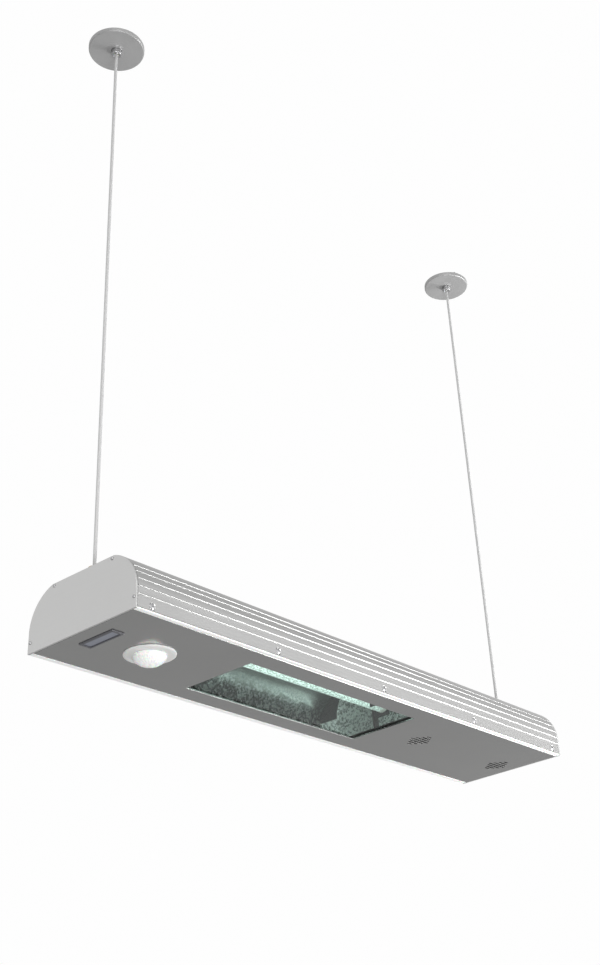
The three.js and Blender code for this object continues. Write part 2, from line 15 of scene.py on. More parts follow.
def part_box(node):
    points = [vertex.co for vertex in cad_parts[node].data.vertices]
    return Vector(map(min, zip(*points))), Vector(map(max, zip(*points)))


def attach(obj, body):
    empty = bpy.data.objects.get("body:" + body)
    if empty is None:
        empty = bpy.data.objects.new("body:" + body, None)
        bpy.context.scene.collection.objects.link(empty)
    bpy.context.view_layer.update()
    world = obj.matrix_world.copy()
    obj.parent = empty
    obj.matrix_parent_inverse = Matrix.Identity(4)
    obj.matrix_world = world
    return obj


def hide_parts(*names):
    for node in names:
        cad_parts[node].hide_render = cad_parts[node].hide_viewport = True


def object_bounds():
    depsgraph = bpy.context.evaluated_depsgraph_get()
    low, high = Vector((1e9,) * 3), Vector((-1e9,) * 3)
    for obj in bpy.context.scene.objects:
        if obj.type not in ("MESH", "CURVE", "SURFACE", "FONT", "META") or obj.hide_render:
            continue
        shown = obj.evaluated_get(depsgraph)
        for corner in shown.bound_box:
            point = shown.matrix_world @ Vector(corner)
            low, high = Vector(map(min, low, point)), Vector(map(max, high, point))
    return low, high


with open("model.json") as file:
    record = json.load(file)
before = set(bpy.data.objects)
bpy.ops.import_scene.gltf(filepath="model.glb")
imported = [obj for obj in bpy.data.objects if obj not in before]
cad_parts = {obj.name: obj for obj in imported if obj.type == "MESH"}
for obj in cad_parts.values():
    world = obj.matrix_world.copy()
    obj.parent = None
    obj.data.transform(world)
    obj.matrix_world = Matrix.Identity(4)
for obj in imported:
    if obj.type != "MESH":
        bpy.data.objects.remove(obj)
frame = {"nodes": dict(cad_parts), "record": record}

MM = 0.001
cad_low, cad_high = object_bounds()
size = [round(b - a, 4) for a, b in zip(cad_low, cad_high)]
print("working model:", len(frame["nodes"]), "nodes,", size, "metres")

# %% [markdown]
# The camera stands low, in front of the left end, and looks up at the lamp. A camera is a position
# and three directions, so its matrix is written from them. The small shift slides the picture
# in the frame without turning the camera, which keeps the lamp's perspective as it is.
# %% Camera
CAMERA_AT = Vector((-1.3143, -1.0982, -1.4976))
CAMERA_RIGHT = Vector((0.6271, -0.7753, -0.0743))
CAMERA_FORWARD = Vector((0.6858, 0.5044, 0.5247))
LENS = 50
SENSOR = 36
SHIFT = (-0.0875, -0.0845)

forward = CAMERA_FORWARD.normalized()
right = (CAMERA_RIGHT - forward * CAMERA_RIGHT.dot(forward)).normalized()
up = right.cross(forward)
turn = Matrix((right, up, -forward)).transposed().to_4x4()

camera_data = bpy.data.cameras.new("camera")
camera_data.lens = LENS
camera_data.sensor_width = SENSOR
camera_data.shift_x, camera_data.shift_y = SHIFT
camera_data.dof.use_dof = False
camera = bpy.data.objects.new("camera", camera_data)
camera.matrix_world = Matrix.Translation(CAMERA_AT) @ turn
bpy.context.scene.collection.objects.link(camera)
bpy.context.scene.camera = camera
bpy.context.scene.view_settings.view_transform = "Standard"
print("camera looks", round(math.degrees(math.asin(forward.z)), 1), "degrees upwards")

# %% [markdown]
# Shader maths is easier to read as sums than as a tangle of nodes. Sock wraps one socket, so that
# 1 - mask or mask * 0.2 adds the Math node by itself. Shading is one node tree: its node method takes
# a node's type, its settings, and what goes into its sockets, and it always gives back a Sock.
# Paint is a material's tree with one Principled shader; the room's own light uses the same helper.
# %% Shader helpers
class Sock:
    """One output socket of a material, ready to be used in arithmetic."""

    def __init__(self, shading, socket):
        self.shading = shading
        self.socket = socket

    def maths(self, operation, first, second=0.0):
        settings = {"operation": operation}
        return self.shading.node("ShaderNodeMath", settings, {0: first, 1: second})

    def __add__(self, other):
        return self.maths("ADD", self, other)

    def __sub__(self, other):
        return self.maths("SUBTRACT", self, other)

    def __rsub__(self, other):
        return self.maths("SUBTRACT", other, self)

    def __mul__(self, other):
        return self.maths("MULTIPLY", self, other)

    __radd__ = __add__
    __rmul__ = __mul__


class Shading:
    """A node tree that is being built."""

    def __init__(self, owner, output):
        owner.use_nodes = True
        self.tree = owner.node_tree
        self.tree.nodes.clear()
        self.output = self.tree.nodes.new(output)

    def feed(self, node, sockets):
        for key, value in sockets.items():
            if isinstance(value, Sock):
                self.tree.links.new(value.socket, node.inputs[key])
            else:
                node.inputs[key].default_value = value

    def node(self, kind, settings=None, sockets=None, out=0):
        node = self.tree.nodes.new(kind)
        for key, value in (settings or {}).items():
            if key == "stops":
                ramp = node.color_ramp.elements
                while len(ramp) < len(value):
                    ramp.new(0.5)
                for stop, (place, shade) in zip(ramp, value):
                    stop.position = place
                    stop.color = (shade, shade, shade, 1)
            else:
                setattr(node, key, value)
        self.feed(node, sockets or {})
        return Sock(self, node.outputs[out])

    def steps(self, value, *stops):
        """Grey that follows value from one stop to the next; a stop is a place and a shade."""
        return self.node("ShaderNodeValToRGB", {"stops": stops}, {0: value})

    def axis(self, vector, letter):
        return self.node("ShaderNodeSeparateXYZ", None, {"Vector": vector}, out=letter)


class Paint(Shading):
    """A material with one Principled shader. Uniform values are set on its own sockets."""

    def __init__(self, name, **uniform):
        self.material = bpy.data.materials.new(name)
        super().__init__(self.material, "ShaderNodeOutputMaterial")
        self.shader = self.tree.nodes.new("ShaderNodeBsdfPrincipled")
        self.feed(self.output, {"Surface": Sock(self, self.shader.outputs[0])})
        self.set(**uniform)

    def set(self, **sockets):
        named = {key.replace("_", " ").title().replace("Ior", "IOR"): value for key, value in sockets.items()}
        self.feed(self.shader, named)

    def place(self, stretch=(1, 1, 1)):
        """The point on the object, in its own metres, stretched along each axis."""
        point = self.node("ShaderNodeTexCoord", out="Object")
        settings = {"vector_type": "POINT"}
        return self.node("ShaderNodeMapping", settings, {"Vector": point, "Scale": stretch})

    def noise(self, scale, detail=3, stretch=(1, 1, 1), rough=0.5):
        sockets = {"Vector": self.place(stretch), "Scale": scale, "Detail": detail, "Roughness": rough}
        return self.node("ShaderNodeTexNoise", None, sockets)

    def blend(self, mask, first, second):
        """A colour that goes from first to second as mask goes from 0 to 1."""
        settings = {"data_type": "RGBA"}
        return self.node("ShaderNodeMix", settings, {0: mask, 6: first, 7: second}, out=2)

    def bump(self, height, distance, strength=1.0):
        sockets = {"Height": height, "Distance": distance, "Strength": strength}
        self.set(normal=self.node("ShaderNodeBump", None, sockets))


def grey(value, alpha=1):
    return (value, value, value, alpha)


print("shader helpers: Sock for sums, Shading for node trees, Paint for materials")

# %% [markdown]
# The housing is extruded aluminium under a satin silver coat. An extrusion shows die lines: faint
# streaks that run the whole length, because the metal was pushed through a steel die. Noise that is
# stretched a hundred times along X gives them. The coat on top adds a much finer orange-peel bump.
# %% Silver coats
def satin_silver(name, base, roughness, streak_axis=0, streak=0.05):
    paint = Paint(name, metallic=0.9)
    stretch = [260, 260, 260]
    stretch[streak_axis] = 1.5
    lines = paint.noise(3.0, detail=4, stretch=tuple(stretch))
    cloud = paint.noise(9, detail=2)
    peel = paint.noise(2600, detail=1)
    shade = lines * streak + cloud * 0.05 - (streak + 0.05) / 2
    dark = tuple(max(c - 0.12, 0) for c in base[:3]) + (1,)
    light = tuple(min(c + 0.12, 1) for c in base[:3]) + (1,)
    paint.set(base_color=paint.blend(shade * 4 + 0.5, dark, light))
    paint.set(roughness=lines * 0.06 + cloud * 0.05 + (roughness - 0.055))
    paint.bump(lines * 0.5 + peel * 0.25, 0.00006)
    return paint.material


# One silver in three shades: the panel's darker grey is painted shade on a face that looks down, and the end
# plates' lighter grey is painted light.
HOUSING_SILVER = (0.58, 0.58, 0.575)
PLATE_LIT_SILVER = (0.70, 0.70, 0.695)
PANEL_SHADED_SILVER = (0.43, 0.43, 0.425)
housing_silver = satin_silver("housing_silver", HOUSING_SILVER, 0.31, streak=0.08)
plate_lit_silver = satin_silver("end_plate_lit_silver", PLATE_LIT_SILVER, 0.40, streak_axis=1, streak=0.03)
panel_silver = satin_silver("panel_silver", PANEL_SHADED_SILVER, 0.14, streak=0.02)
print("silver coats:", housing_silver.name, plate_lit_silver.name, panel_silver.name)

# %% [markdown]
# Screws, crimped balls and ceiling plates are bright zinc on steel, and the sockets are turned
# brass. Turned and plated metal is never one even mirror: it has a cloudy zinc bloom a few
# millimetres across and very fine scratches, so roughness varies more than colour does.
# %% Bare metals
def bright_metal(name, base, roughness, bloom_scale=240):
    paint = Paint(name, metallic=1.0)
    bloom = paint.noise(bloom_scale, detail=5, rough=0.7)
    scratch = paint.noise(900, detail=2, stretch=(1, 1, 9))
    dark = tuple(c * 0.72 for c in base[:3]) + (1,)
    paint.set(base_color=paint.blend(paint.steps(bloom, (0.3, 0), (0.75, 1)), dark, (*base[:3], 1)))
    paint.set(roughness=bloom * 0.18 + scratch * 0.12 + (roughness - 0.15))
    paint.bump(scratch * 0.6 + bloom * 0.4, 0.00004)
    return paint.material


screw_steel = bright_metal("screw_steel", (0.74, 0.74, 0.75), 0.26)
plate_steel = bright_metal("plate_steel", (0.68, 0.68, 0.69), 0.34, bloom_scale=70)
ball_steel = bright_metal("ball_steel", (0.70, 0.70, 0.71), 0.28)
socket_brass = bright_metal("socket_brass", (0.72, 0.55, 0.26), 0.3)
driver_case = bright_metal("driver_case", (0.55, 0.56, 0.57), 0.42, bloom_scale=40)
print("bare metals:", screw_steel.name, socket_brass.name, driver_case.name)

# %% [markdown]
# Moulded plastic takes its skin from a spark-eroded steel tool, which leaves fine round pits. A
# small noise as bump gives that skin, and a slower noise keeps its gloss from being dead even.
# The white edge strips and the sensor's milky lens also let a little light in under the skin.
# %% Moulded plastics
def moulded(name, base, roughness, pits=0.00005, under_skin=0.0, scale=1500):
    paint = Paint(name, subsurface_weight=under_skin, subsurface_scale=0.002)
    skin = paint.noise(scale, detail=2)
    cloud = paint.noise(35, detail=3)
    dark = tuple(c * 0.93 for c in base[:3]) + (1,)
    paint.set(base_color=paint.blend(cloud, dark, (*base[:3], 1)))
    paint.set(roughness=skin * 0.1 + cloud * 0.06 + (roughness - 0.08))
    paint.bump(skin, pits)
    return paint.material


edge_white = moulded("edge_white", (0.97, 0.97, 0.96), 0.4, under_skin=0.1)
sensor_white = moulded("sensor_white", (0.72, 0.72, 0.71), 0.38, under_skin=0.1)
lens_white = moulded("lens_white", (0.96, 0.96, 0.95), 0.3, pits=0.00002, under_skin=0.3)
black_plastic = moulded("black_plastic", (0.008, 0.009, 0.010), 0.55)
bezel_plastic = moulded("bezel_plastic", (0.10, 0.10, 0.11), 0.4)
seat_nylon = moulded("seat_nylon", (0.86, 0.85, 0.80), 0.5, under_skin=0.2)
print("plastics:", edge_white.name, lens_white.name, black_plastic.name)

# %% [markdown]
# The canopies are spun steel cups with a grey powder coat. Powder coat flows into a low, close
# orange peel.
# %% Canopy coat
def powder_coat():
    paint = Paint("canopy_grey", metallic=0.35, coat_roughness=0.25, coat_weight=0.3)
    peel = paint.noise(700, detail=2)
    cloud = paint.noise(30, detail=3)
    paint.set(base_color=paint.blend(cloud, grey(0.35), grey(0.43)))
    paint.set(roughness=peel * 0.12 + 0.36)
    paint.bump(peel, 0.00012)
    return paint.material


canopy_grey = powder_coat()
print("canopy coat:", canopy_grey.name)

# %% [markdown]
# Each cable is a steel wire rope and its supply cores inside one light grey jacket. The jacket is
# extruded over twisted cores, so a very shallow helix shows through it. The helix is a wave whose
# phase is the height plus the angle round the cable, and it drives only the bump and the gloss.
# %% Cable jacket
CABLE_LAY = 0.018
CORES = 3


def cable_jacket_paint():
    paint = Paint("cable_jacket")
    height = paint.axis(paint.place(), "Z")
    normal = paint.node("ShaderNodeNewGeometry", out="Normal")
    east, north = paint.axis(normal, "X"), paint.axis(normal, "Y")
    phase = height * (2 * math.pi / CABLE_LAY) + north.maths("ARCTAN2", north, east)
    ridges = phase * CORES
    twist = ridges.maths("SINE", ridges) * 0.5 + 0.5
    skin = paint.noise(900, detail=3)
    paint.set(base_color=paint.blend(skin, grey(0.47), grey(0.57)))
    paint.set(roughness=skin * 0.14 + twist * 0.05 + 0.42)
    paint.bump(twist * 0.6 + skin * 0.4, 0.00006)
    return paint.material


cable_jacket = cable_jacket_paint()
print("cable jacket with a lay of", CABLE_LAY, "m")

# %% [markdown]
# The reflector is aluminium, rolled with a fine grain so that no single sharp line of the tube falls
# on the bench. Its colours hold painted shade and painted light: the crown is a dark grey of painted
# shade, the flanks near the window carry dark flecks of painted shade and a coarse sparkle, and past
# the cheek the sheet is rougher and painted light grey. Cell noise gives the grain: each cell tips the
# surface and sets its own shade. Height and length make the masks.
# %% Grained reflector
REFLECTOR_RISE = 47 * MM
# Painted shade and light in the trough: the crown grey is painted shade, the dark fleck is painted shade on
# the flanks, and the light grey past the cheek is painted light.
SHADED_CROWN_GREY = (0.10, 0.115, 0.11, 1)
DARK_FLECK = (0.004, 0.006, 0.005, 1)
LIT_SHEET_GREY = (0.52, 0.56, 0.545, 1)


def grained_mirror(foot_z, cheek_x):
    paint = Paint("reflector_mirror", metallic=0.85)
    cells = {"Vector": paint.place(), "Scale": 420}
    grain = paint.node("ShaderNodeTexVoronoi", {"feature": "F1"}, cells, out=1)
    fleck = paint.axis(grain, "X")
    height = (paint.axis(paint.place(), "Z") - foot_z) * (1 / REFLECTOR_RISE)
    flank = paint.steps(height, (0.30, 1.0), (0.74, 0.10))
    along = paint.axis(paint.place(), "X")
    # Past the cheek the sheet is painted lighter, which is painted light, and it is also made rougher.
    past_cheek = along.maths("GREATER_THAN", along, cheek_x)
    stain = paint.noise(25, detail=4)
    smooth = paint.blend(stain * 0.15, SHADED_CROWN_GREY, LIT_SHEET_GREY)
    flecked = paint.blend(paint.steps(fleck, (0.3, 0), (0.5, 1)) * flank, smooth, DARK_FLECK)
    light = paint.blend(paint.steps(fleck, (0.3, 0), (0.9, 0.8)), LIT_SHEET_GREY, DARK_FLECK)
    paint.set(base_color=paint.blend(past_cheek, flecked, light))
    paint.set(roughness=fleck * 0.12 + stain * 0.1 + flank * 0.15 + past_cheek * 0.15 + 0.22)
    paint.bump(fleck * flank, 0.0007)
    return paint.material


reflector_mirror = grained_mirror(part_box("reflector")[0].z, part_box("reflector_cheek")[1].x)
print("reflector:", reflector_mirror.name)

# %% [markdown]
# Window glass is clear float glass with the faint green that iron gives it. Light has to pass it to
# reach the trough behind, and bent light is slow to trace, so shadow and soft-light rays see a
# plain clear sheet in its place and only straight views see the real glass.
# %% Window glass
def float_glass():
    paint = Paint("pane_glass", base_color=(0.86, 0.96, 0.92, 1), ior=1.2, transmission_weight=1.0)
    smear = paint.noise(14, detail=3)
    paint.set(roughness=smear * 0.03 + 0.005)
    shadow = paint.node("ShaderNodeLightPath", out="Is Shadow Ray")
    soft = paint.node("ShaderNodeLightPath", out="Is Diffuse Ray")
    clear = paint.node("ShaderNodeBsdfTransparent", None, {"Color": (0.9, 0.97, 0.94, 1)})
    glass = Sock(paint, paint.shader.outputs[0])
    passing = shadow.maths("MAXIMUM", shadow, soft)
    mixed = paint.node("ShaderNodeMixShader", None, {0: passing, 1: glass, 2: clear})
    paint.feed(paint.output, {"Surface": mixed})
    return paint.material


pane_glass = float_glass()
print("glass:", pane_glass.name)

# %% [markdown]
# The tube is lit, but only just: its quartz is frosted inside and glows a pale mint, strongest at
# the end by the control board. The glow is emission on the outer skin. A fine grain from the
# frosting keeps it from looking like a painted stripe.
# %% Lamp tube
TUBE_GLOW = 0.85


def glowing_quartz(half_length, middle_x):
    paint = Paint("tube_quartz", roughness=0.25, emission_strength=TUBE_GLOW)
    along = (paint.axis(paint.place(), "X") - middle_x) * (0.5 / half_length) + 0.5
    lit = paint.steps(along, (0.1, 1.0), (0.95, 0.45))
    frost = paint.steps(paint.noise(430, detail=3), (0.40, 0), (0.58, 1))
    glow = paint.blend(frost, (0.30, 0.38, 0.35, 1), (0.80, 0.90, 0.87, 1))
    paint.set(base_color=glow, emission_color=paint.blend(lit, (0.08, 0.11, 0.10, 1), glow))
    return paint.material


tube_low, tube_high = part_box("lamp_tube")
tube_half = (tube_high.x - tube_low.x) / 2
tube_quartz = glowing_quartz(tube_half, (tube_low.x + tube_high.x) / 2)
ceramic = moulded("cap_ceramic", (0.85, 0.84, 0.80), 0.55, scale=900)
print("tube:", round(2 * tube_half, 3), "m long")

# %% [markdown]
# The circuit board is one piece in the working model, with its parts on it. Height tells them
# apart: the green board is a thin layer, what hangs below it is black or aluminium, and the
# posts above it are brass. Masks made from the Z coordinate paint each layer.
# %% Circuit board and screen
def board_paint(bottom, top):
    paint = Paint("circuit_board", metallic=0.0)
    height = paint.axis(paint.place(), "Z")
    above = height.maths("GREATER_THAN", height, top)
    below = height.maths("LESS_THAN", height, bottom)
    weave = paint.noise(500, detail=3)
    green = paint.blend(weave, (0.02, 0.10, 0.05, 1), (0.035, 0.15, 0.08, 1))
    part = paint.blend(below, green, grey(0.04))
    paint.set(base_color=paint.blend(above, part, (0.60, 0.46, 0.22, 1)))
    paint.set(metallic=above, roughness=weave * 0.2 + below * 0.15 + 0.25)
    paint.bump(weave, 0.00005)
    return paint.material


def screen_paint():
    paint = Paint("screen", coat_weight=1.0, coat_roughness=0.03)
    film = paint.noise(60, detail=3)
    paint.set(base_color=paint.blend(film, (0.14, 0.155, 0.20, 1), (0.19, 0.205, 0.25, 1)))
    paint.set(roughness=film * 0.1 + 0.3)
    return paint.material


BOARD_FACE = 1.7 * MM
BOARD_FOOT = 46 * MM  # the board stands this far above the lamp's lowest edge
COPPER_OVERLAP = 0.1 * MM
lamp_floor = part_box("edge_strip_near")[0].z
board_z = lamp_floor + BOARD_FOOT
circuit_board = board_paint(board_z - COPPER_OVERLAP, board_z + BOARD_FACE)
screen = screen_paint()
print("board layer at", round(board_z, 4))

# %% [markdown]
# Every new piece needs the same three lines: it rides on the body of the node it stands for, it
# names the finish it takes, and it replaces that node. One helper says all of that, so that no
# piece can be forgotten. Another helper bakes modifiers into the mesh, so that a piece is final.
# %% Piece helpers
NODE_BODY = {n: body for body, names in frame["record"]["behaviour"]["bodies"].items() for n in names}
SMOOTH_BELOW = math.radians(32)


def new_object(name, mesh):
    piece = bpy.data.objects.new(name, mesh)
    bpy.context.scene.collection.objects.link(piece)
    return piece


def mesh_of(name, points, faces):
    mesh = bpy.data.meshes.new(name)
    mesh.from_pydata([tuple(p) for p in points], [], faces)
    mesh.validate()
    return new_object(name, mesh)


def settle(piece):
    """Bakes the modifiers into the mesh."""
    shape = bpy.context.evaluated_depsgraph_get()
    shape.update()
    mesh = bpy.data.meshes.new_from_object(piece.evaluated_get(shape))
    piece.modifiers.clear()
    piece.data = mesh
    return piece


def tidy(piece):
    """Merges doubled points, turns all faces outwards and smooths the gentle edges."""
    work = bmesh.new()
    work.from_mesh(piece.data)
    bmesh.ops.remove_doubles(work, verts=work.verts, dist=1e-6)
    bmesh.ops.recalc_face_normals(work, faces=work.faces)
    work.to_mesh(piece.data)
    work.free()
    piece.data.shade_smooth()
    piece.data.set_sharp_from_angle(angle=SMOOTH_BELOW)
    return piece


def rounded(piece, width, segments=2, over=35):
    """Rounds every edge sharper than an angle, as tumbling or a coat of paint does."""
    bevel = piece.modifiers.new("rounded", "BEVEL")
    bevel.width = width
    bevel.segments = segments
    bevel.limit_method = "ANGLE"
    bevel.angle_limit = math.radians(over)
    bevel.harden_normals = False
    bevel.use_clamp_overlap = True
    settle(piece)
    tidy(piece)
    even = piece.modifiers.new("even", "WEIGHTED_NORMAL")
    even.keep_sharp = True
    return settle(piece)


def stands_for(piece, material, *nodes):
    piece.data.materials.clear()
    piece.data.materials.append(material)
    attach(piece, NODE_BODY[nodes[0]])
    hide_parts(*nodes)
    return piece


def goes_with(piece, material, node):
    """An extra piece that belongs to a node but doesn't replace it."""
    piece.data.materials.clear()
    piece.data.materials.append(material)
    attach(piece, NODE_BODY[node])
    return piece


print("piece helpers ready for", len(NODE_BODY), "nodes")

# %% [markdown]
# Three ways to make a shape cover most of a lamp. A prism is an outline pushed along X, as the
# extrusion press does it. A turned shape is a profile spun about an axis, as on a lathe. And a
# softened copy takes a node's own flat faces and rounds their edges.
# %% Shape helpers
def prism(name, outline, start, end, axis="X"):
    """An outline of (y, z) points pushed along X, or of (x, y) points pushed along Z."""
    count = len(outline)
    points = [(d, u, v) if axis == "X" else (u, v, d) for d in (start, end) for u, v in outline]
    faces = [list(range(count))[::-1], list(range(count, 2 * count))]
    for i in range(count):
        j = (i + 1) % count
        faces.append([i, j, count + j, count + i])
    return tidy(mesh_of(name, points, faces))


def spun(name, profile, centre, sides=96, axis="Z"):
    """A closed profile of (radius, height) points turned about an axis through centre."""
    rows, faces = [], []
    for step in range(sides):
        angle = 2 * math.pi * step / sides
        for r, h in profile:
            rows.append((r * math.cos(angle), r * math.sin(angle), h))
    count = len(profile)
    for step in range(sides):
        after = (step + 1) % sides
        for i in range(count):
            j = (i + 1) % count
            faces.append([step * count + i, after * count + i, after * count + j, step * count + j])
    piece = mesh_of(name, rows, faces)
    work = bmesh.new()
    work.from_mesh(piece.data)
    bmesh.ops.remove_doubles(work, verts=work.verts, dist=1e-7)
    bmesh.ops.dissolve_degenerate(work, dist=1e-7, edges=work.edges)
    work.to_mesh(piece.data)
    work.free()
    lay = {"Z": Matrix.Identity(4), "X": Matrix.Rotation(math.pi / 2, 4, "Y"),
           "Y": Matrix.Rotation(-math.pi / 2, 4, "X")}[axis]
    piece.data.transform(Matrix.Translation(centre) @ lay)
    return tidy(piece)


def arc(centre, radii, start, end, steps):
    """Points on an ellipse about centre, from one angle to another, in degrees."""
    turned = [math.radians(start + (end - start) * i / steps) for i in range(steps + 1)]
    return [(centre[0] + radii[0] * math.cos(a), centre[1] + radii[1] * math.sin(a)) for a in turned]


def softened(node, width, segments=2):
    """A copy of a node whose flat faces are whole again and whose edges are rounded."""
    piece = new_object(node + "_made", frame["nodes"][node].data.copy())
    work = bmesh.new()
    work.from_mesh(piece.data)
    bmesh.ops.remove_doubles(work, verts=work.verts, dist=1e-6)
    flat = math.radians(0.5)
    bmesh.ops.dissolve_limit(work, angle_limit=flat, verts=work.verts, edges=work.edges)
    work.to_mesh(piece.data)
    work.free()
    return rounded(piece, width, segments)


def joined(name, pieces):
    """One object from several meshes."""
    work = bmesh.new()
    for piece in pieces:
        work.from_mesh(piece.data)
        bpy.data.objects.remove(piece)
    mesh = bpy.data.meshes.new(name)
    work.to_mesh(mesh)
    work.free()
    return new_object(name, mesh)


def carved(piece, *cutters):
    """Takes the cutters out of a piece, and removes them."""
    tool = joined("cutter", cutters) if len(cutters) > 1 else cutters[0]
    cut = piece.modifiers.new("cut", "BOOLEAN")
    cut.operation = "DIFFERENCE"
    cut.solver = "EXACT"
    cut.use_self = True
    cut.object = tool
    settle(piece)
    bpy.data.objects.remove(tool)
    return tidy(piece)


print("shape helpers: prism, spun, softened, joined, carved")

# %% [markdown]
# The housing is one extrusion: straight sides, two round shoulders and a flat top, with five thin
# beads along each side. The working model's outline has few points, so here it is drawn again with
# fine arcs. A distance up the side gives each point, so the beads follow the shoulder by themselves.
# %% Housing outline
plate_low, plate_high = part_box("end_plate_left")
HALF_WIDTH = (plate_high.y - plate_low.y) / 2
HEIGHT = plate_high.z - plate_low.z
STRAIGHT = 25 * MM
SHOULDER = 51 * MM
WALL = 2.2 * MM
BEADS = 5
BEAD_FIRST = 17.4 * MM
BEAD_PITCH = 9.5 * MM
BEAD_WIDTH = 1.8 * MM
BEAD_RISE = 0.7 * MM
SHOULDER_STEPS = 44
BEAD_STEPS = 10
shoulder_y = HALF_WIDTH - SHOULDER


def side_point(up_side, rise=0.0):
    """The point a distance up the outer side, lifted off it by rise."""
    if up_side <= STRAIGHT:
        return HALF_WIDTH + rise, up_side
    angle = (up_side - STRAIGHT) / SHOULDER
    reach = SHOULDER + rise
    return shoulder_y + reach * math.cos(angle), STRAIGHT + reach * math.sin(angle)


def beaded_side(foot):
    top_angle = math.asin((HEIGHT - STRAIGHT) / SHOULDER)
    stops = [(foot, 0.0)]
    stops += [(STRAIGHT + SHOULDER * top_angle * i / SHOULDER_STEPS, 0.0) for i in range(SHOULDER_STEPS + 1)]
    centres = [BEAD_FIRST + BEAD_PITCH * i for i in range(BEADS)]
    clear = BEAD_WIDTH / 2 + 0.15 * MM
    stops = [s for s in stops if all(abs(s[0] - c) > clear for c in centres)]
    for centre in centres:
        for i in range(BEAD_STEPS + 1):
            across = 2 * i / BEAD_STEPS - 1
            rise = BEAD_RISE * math.sqrt(max(0.0, 1 - across * across))
            stops.append((centre + across * BEAD_WIDTH / 2, rise))
    return [side_point(s, rise) for s, rise in sorted(stops)]


def mirrored(side):
    return [(-y, z) for y, z in reversed(side)]


def lifted(outline):
    return [(y, z + lamp_floor) for y, z in outline]


outer = beaded_side(2.1 * MM)
print("outer side has", len(outer), "points")

# %% [markdown]
# Inside, the housing carries a screw rail along each foot and a round screw port under each top
# corner, all in the same extrusion. They are part of the inner outline: up the rail, over to the
# wall, round the shoulder, round the port, and across the top.
# %% Housing
RAIL = 6.4 * MM
RAIL_TOP = 17 * MM
PORT = (49 * MM, 71.2 * MM)
PORT_R = 3 * MM
housing_low, housing_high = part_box("housing")
inner_r = SHOULDER - WALL
ceiling_z = HEIGHT - WALL
inner_top = math.degrees(math.asin((ceiling_z - STRAIGHT) / inner_r))
shoulder = arc((shoulder_y, STRAIGHT), (inner_r, inner_r), 0, inner_top, SHOULDER_STEPS)
shoulder = [p for p in shoulder if math.dist(p, PORT) > PORT_R]
port_end = 180 + math.degrees(math.asin((PORT[1] - ceiling_z) / PORT_R))
port = arc(PORT, (PORT_R, PORT_R), 16, port_end - 360, 24)
rail = [(HALF_WIDTH - RAIL, 2.1 * MM), (HALF_WIDTH - RAIL, RAIL_TOP), (HALF_WIDTH - WALL, RAIL_TOP)]
inner = rail + shoulder + port

section = outer + mirrored(outer) + [(-y, z) for y, z in inner] + inner[::-1]
housing = prism("housing_made", lifted(section), housing_low.x, housing_high.x)
print("housing section has", len(section), "points")

# %% [markdown]
# The side screws sit in countersinks, the end screws run into the ports, and each cable's socket
# comes up through a round hole. Cutters are turned or pushed shapes too, and one Boolean takes
# them all out at once, which is quicker and cleaner than one Boolean for each hole.
# %% Holes in the housing
SINK_R = 4.6 * MM
SINK_DEPTH = 2.6 * MM
SCREW_HOLE_R = 2.35 * MM
END_HOLE_R = 1.3 * MM
PORT_DEPTH = 14 * MM
ANCHOR_HOLE_R = 7.7 * MM
OVER = 0.2 * MM


def middle_of(node):
    low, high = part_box(node)
    return (low + high) / 2


def side_screws():
    return [f"side_screw_{side}_{i}" for side in ("near", "far") for i in range(1, 6)]


def end_screws(end):
    return [f"end_screw_{end}_{height}_{side}" for height in ("top", "low") for side in ("near", "far")]


def sink_cutter(node):
    centre = middle_of(node)
    out = 1 if centre.y > 0 else -1
    steps = [(0, OVER), (SINK_R, OVER), (SINK_R, 0), (SCREW_HOLE_R, -SINK_DEPTH),
             (SCREW_HOLE_R, -RAIL - 1 * MM), (0, -RAIL - 1 * MM)]
    profile = [(r, out * h) for r, h in steps]
    return spun("cutter", profile, (centre.x, out * HALF_WIDTH, centre.z), sides=40, axis="Y")


def drill(radius, centre, length, axis="Z", sides=32):
    half = length / 2
    return spun("cutter", [(0, -half), (radius, -half), (radius, half), (0, half)], centre, sides, axis)


cutters = [sink_cutter(node) for node in side_screws()]
for end, edge in (("left", housing_low.x), ("right", housing_high.x)):
    for node in end_screws(end):
        centre = middle_of(node)
        cutters.append(drill(END_HOLE_R, (edge, centre.y, centre.z), 2 * PORT_DEPTH, "X", 20))
    anchor = middle_of(f"anchor_{end}")
    cutters.append(drill(ANCHOR_HOLE_R, (anchor.x, 0, housing_high.z), 12 * MM, sides=64))
carved(housing, *cutters)
rounded(housing, 0.15 * MM, over=50)
stands_for(housing, housing_silver, "housing")
print("housing has", len(housing.data.polygons), "faces after", len(cutters), "holes")

# %% [markdown]
# The end plates are flat aluminium, cut to the housing's outline. A cut and tumbled edge is
# softer than an extruded one, so it gets a wider rounding, which catches a thin line of light.
# %% End plates
def plain_outline():
    top_angle = math.degrees(math.asin((HEIGHT - STRAIGHT) / SHOULDER))
    side = [(HALF_WIDTH, 0.0)] + arc((shoulder_y, STRAIGHT), (SHOULDER, SHOULDER), 0, top_angle, 44)
    return lifted(side + mirrored(side))


for end in ("left", "right"):
    low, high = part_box(f"end_plate_{end}")
    plate = prism(f"end_plate_{end}_made", plain_outline(), low.x, high.x)
    middle = (low.x + high.x) / 2
    holes = [middle_of(node) for node in end_screws(end)]
    carved(plate, *[drill(END_HOLE_R, (middle, c.y, c.z), 8 * MM, "X", 24) for c in holes])
    rounded(plate, 0.45 * MM, segments=3)
    stands_for(plate, plate_lit_silver, f"end_plate_{end}")
    print(plate.name, len(plate.data.polygons), "faces")

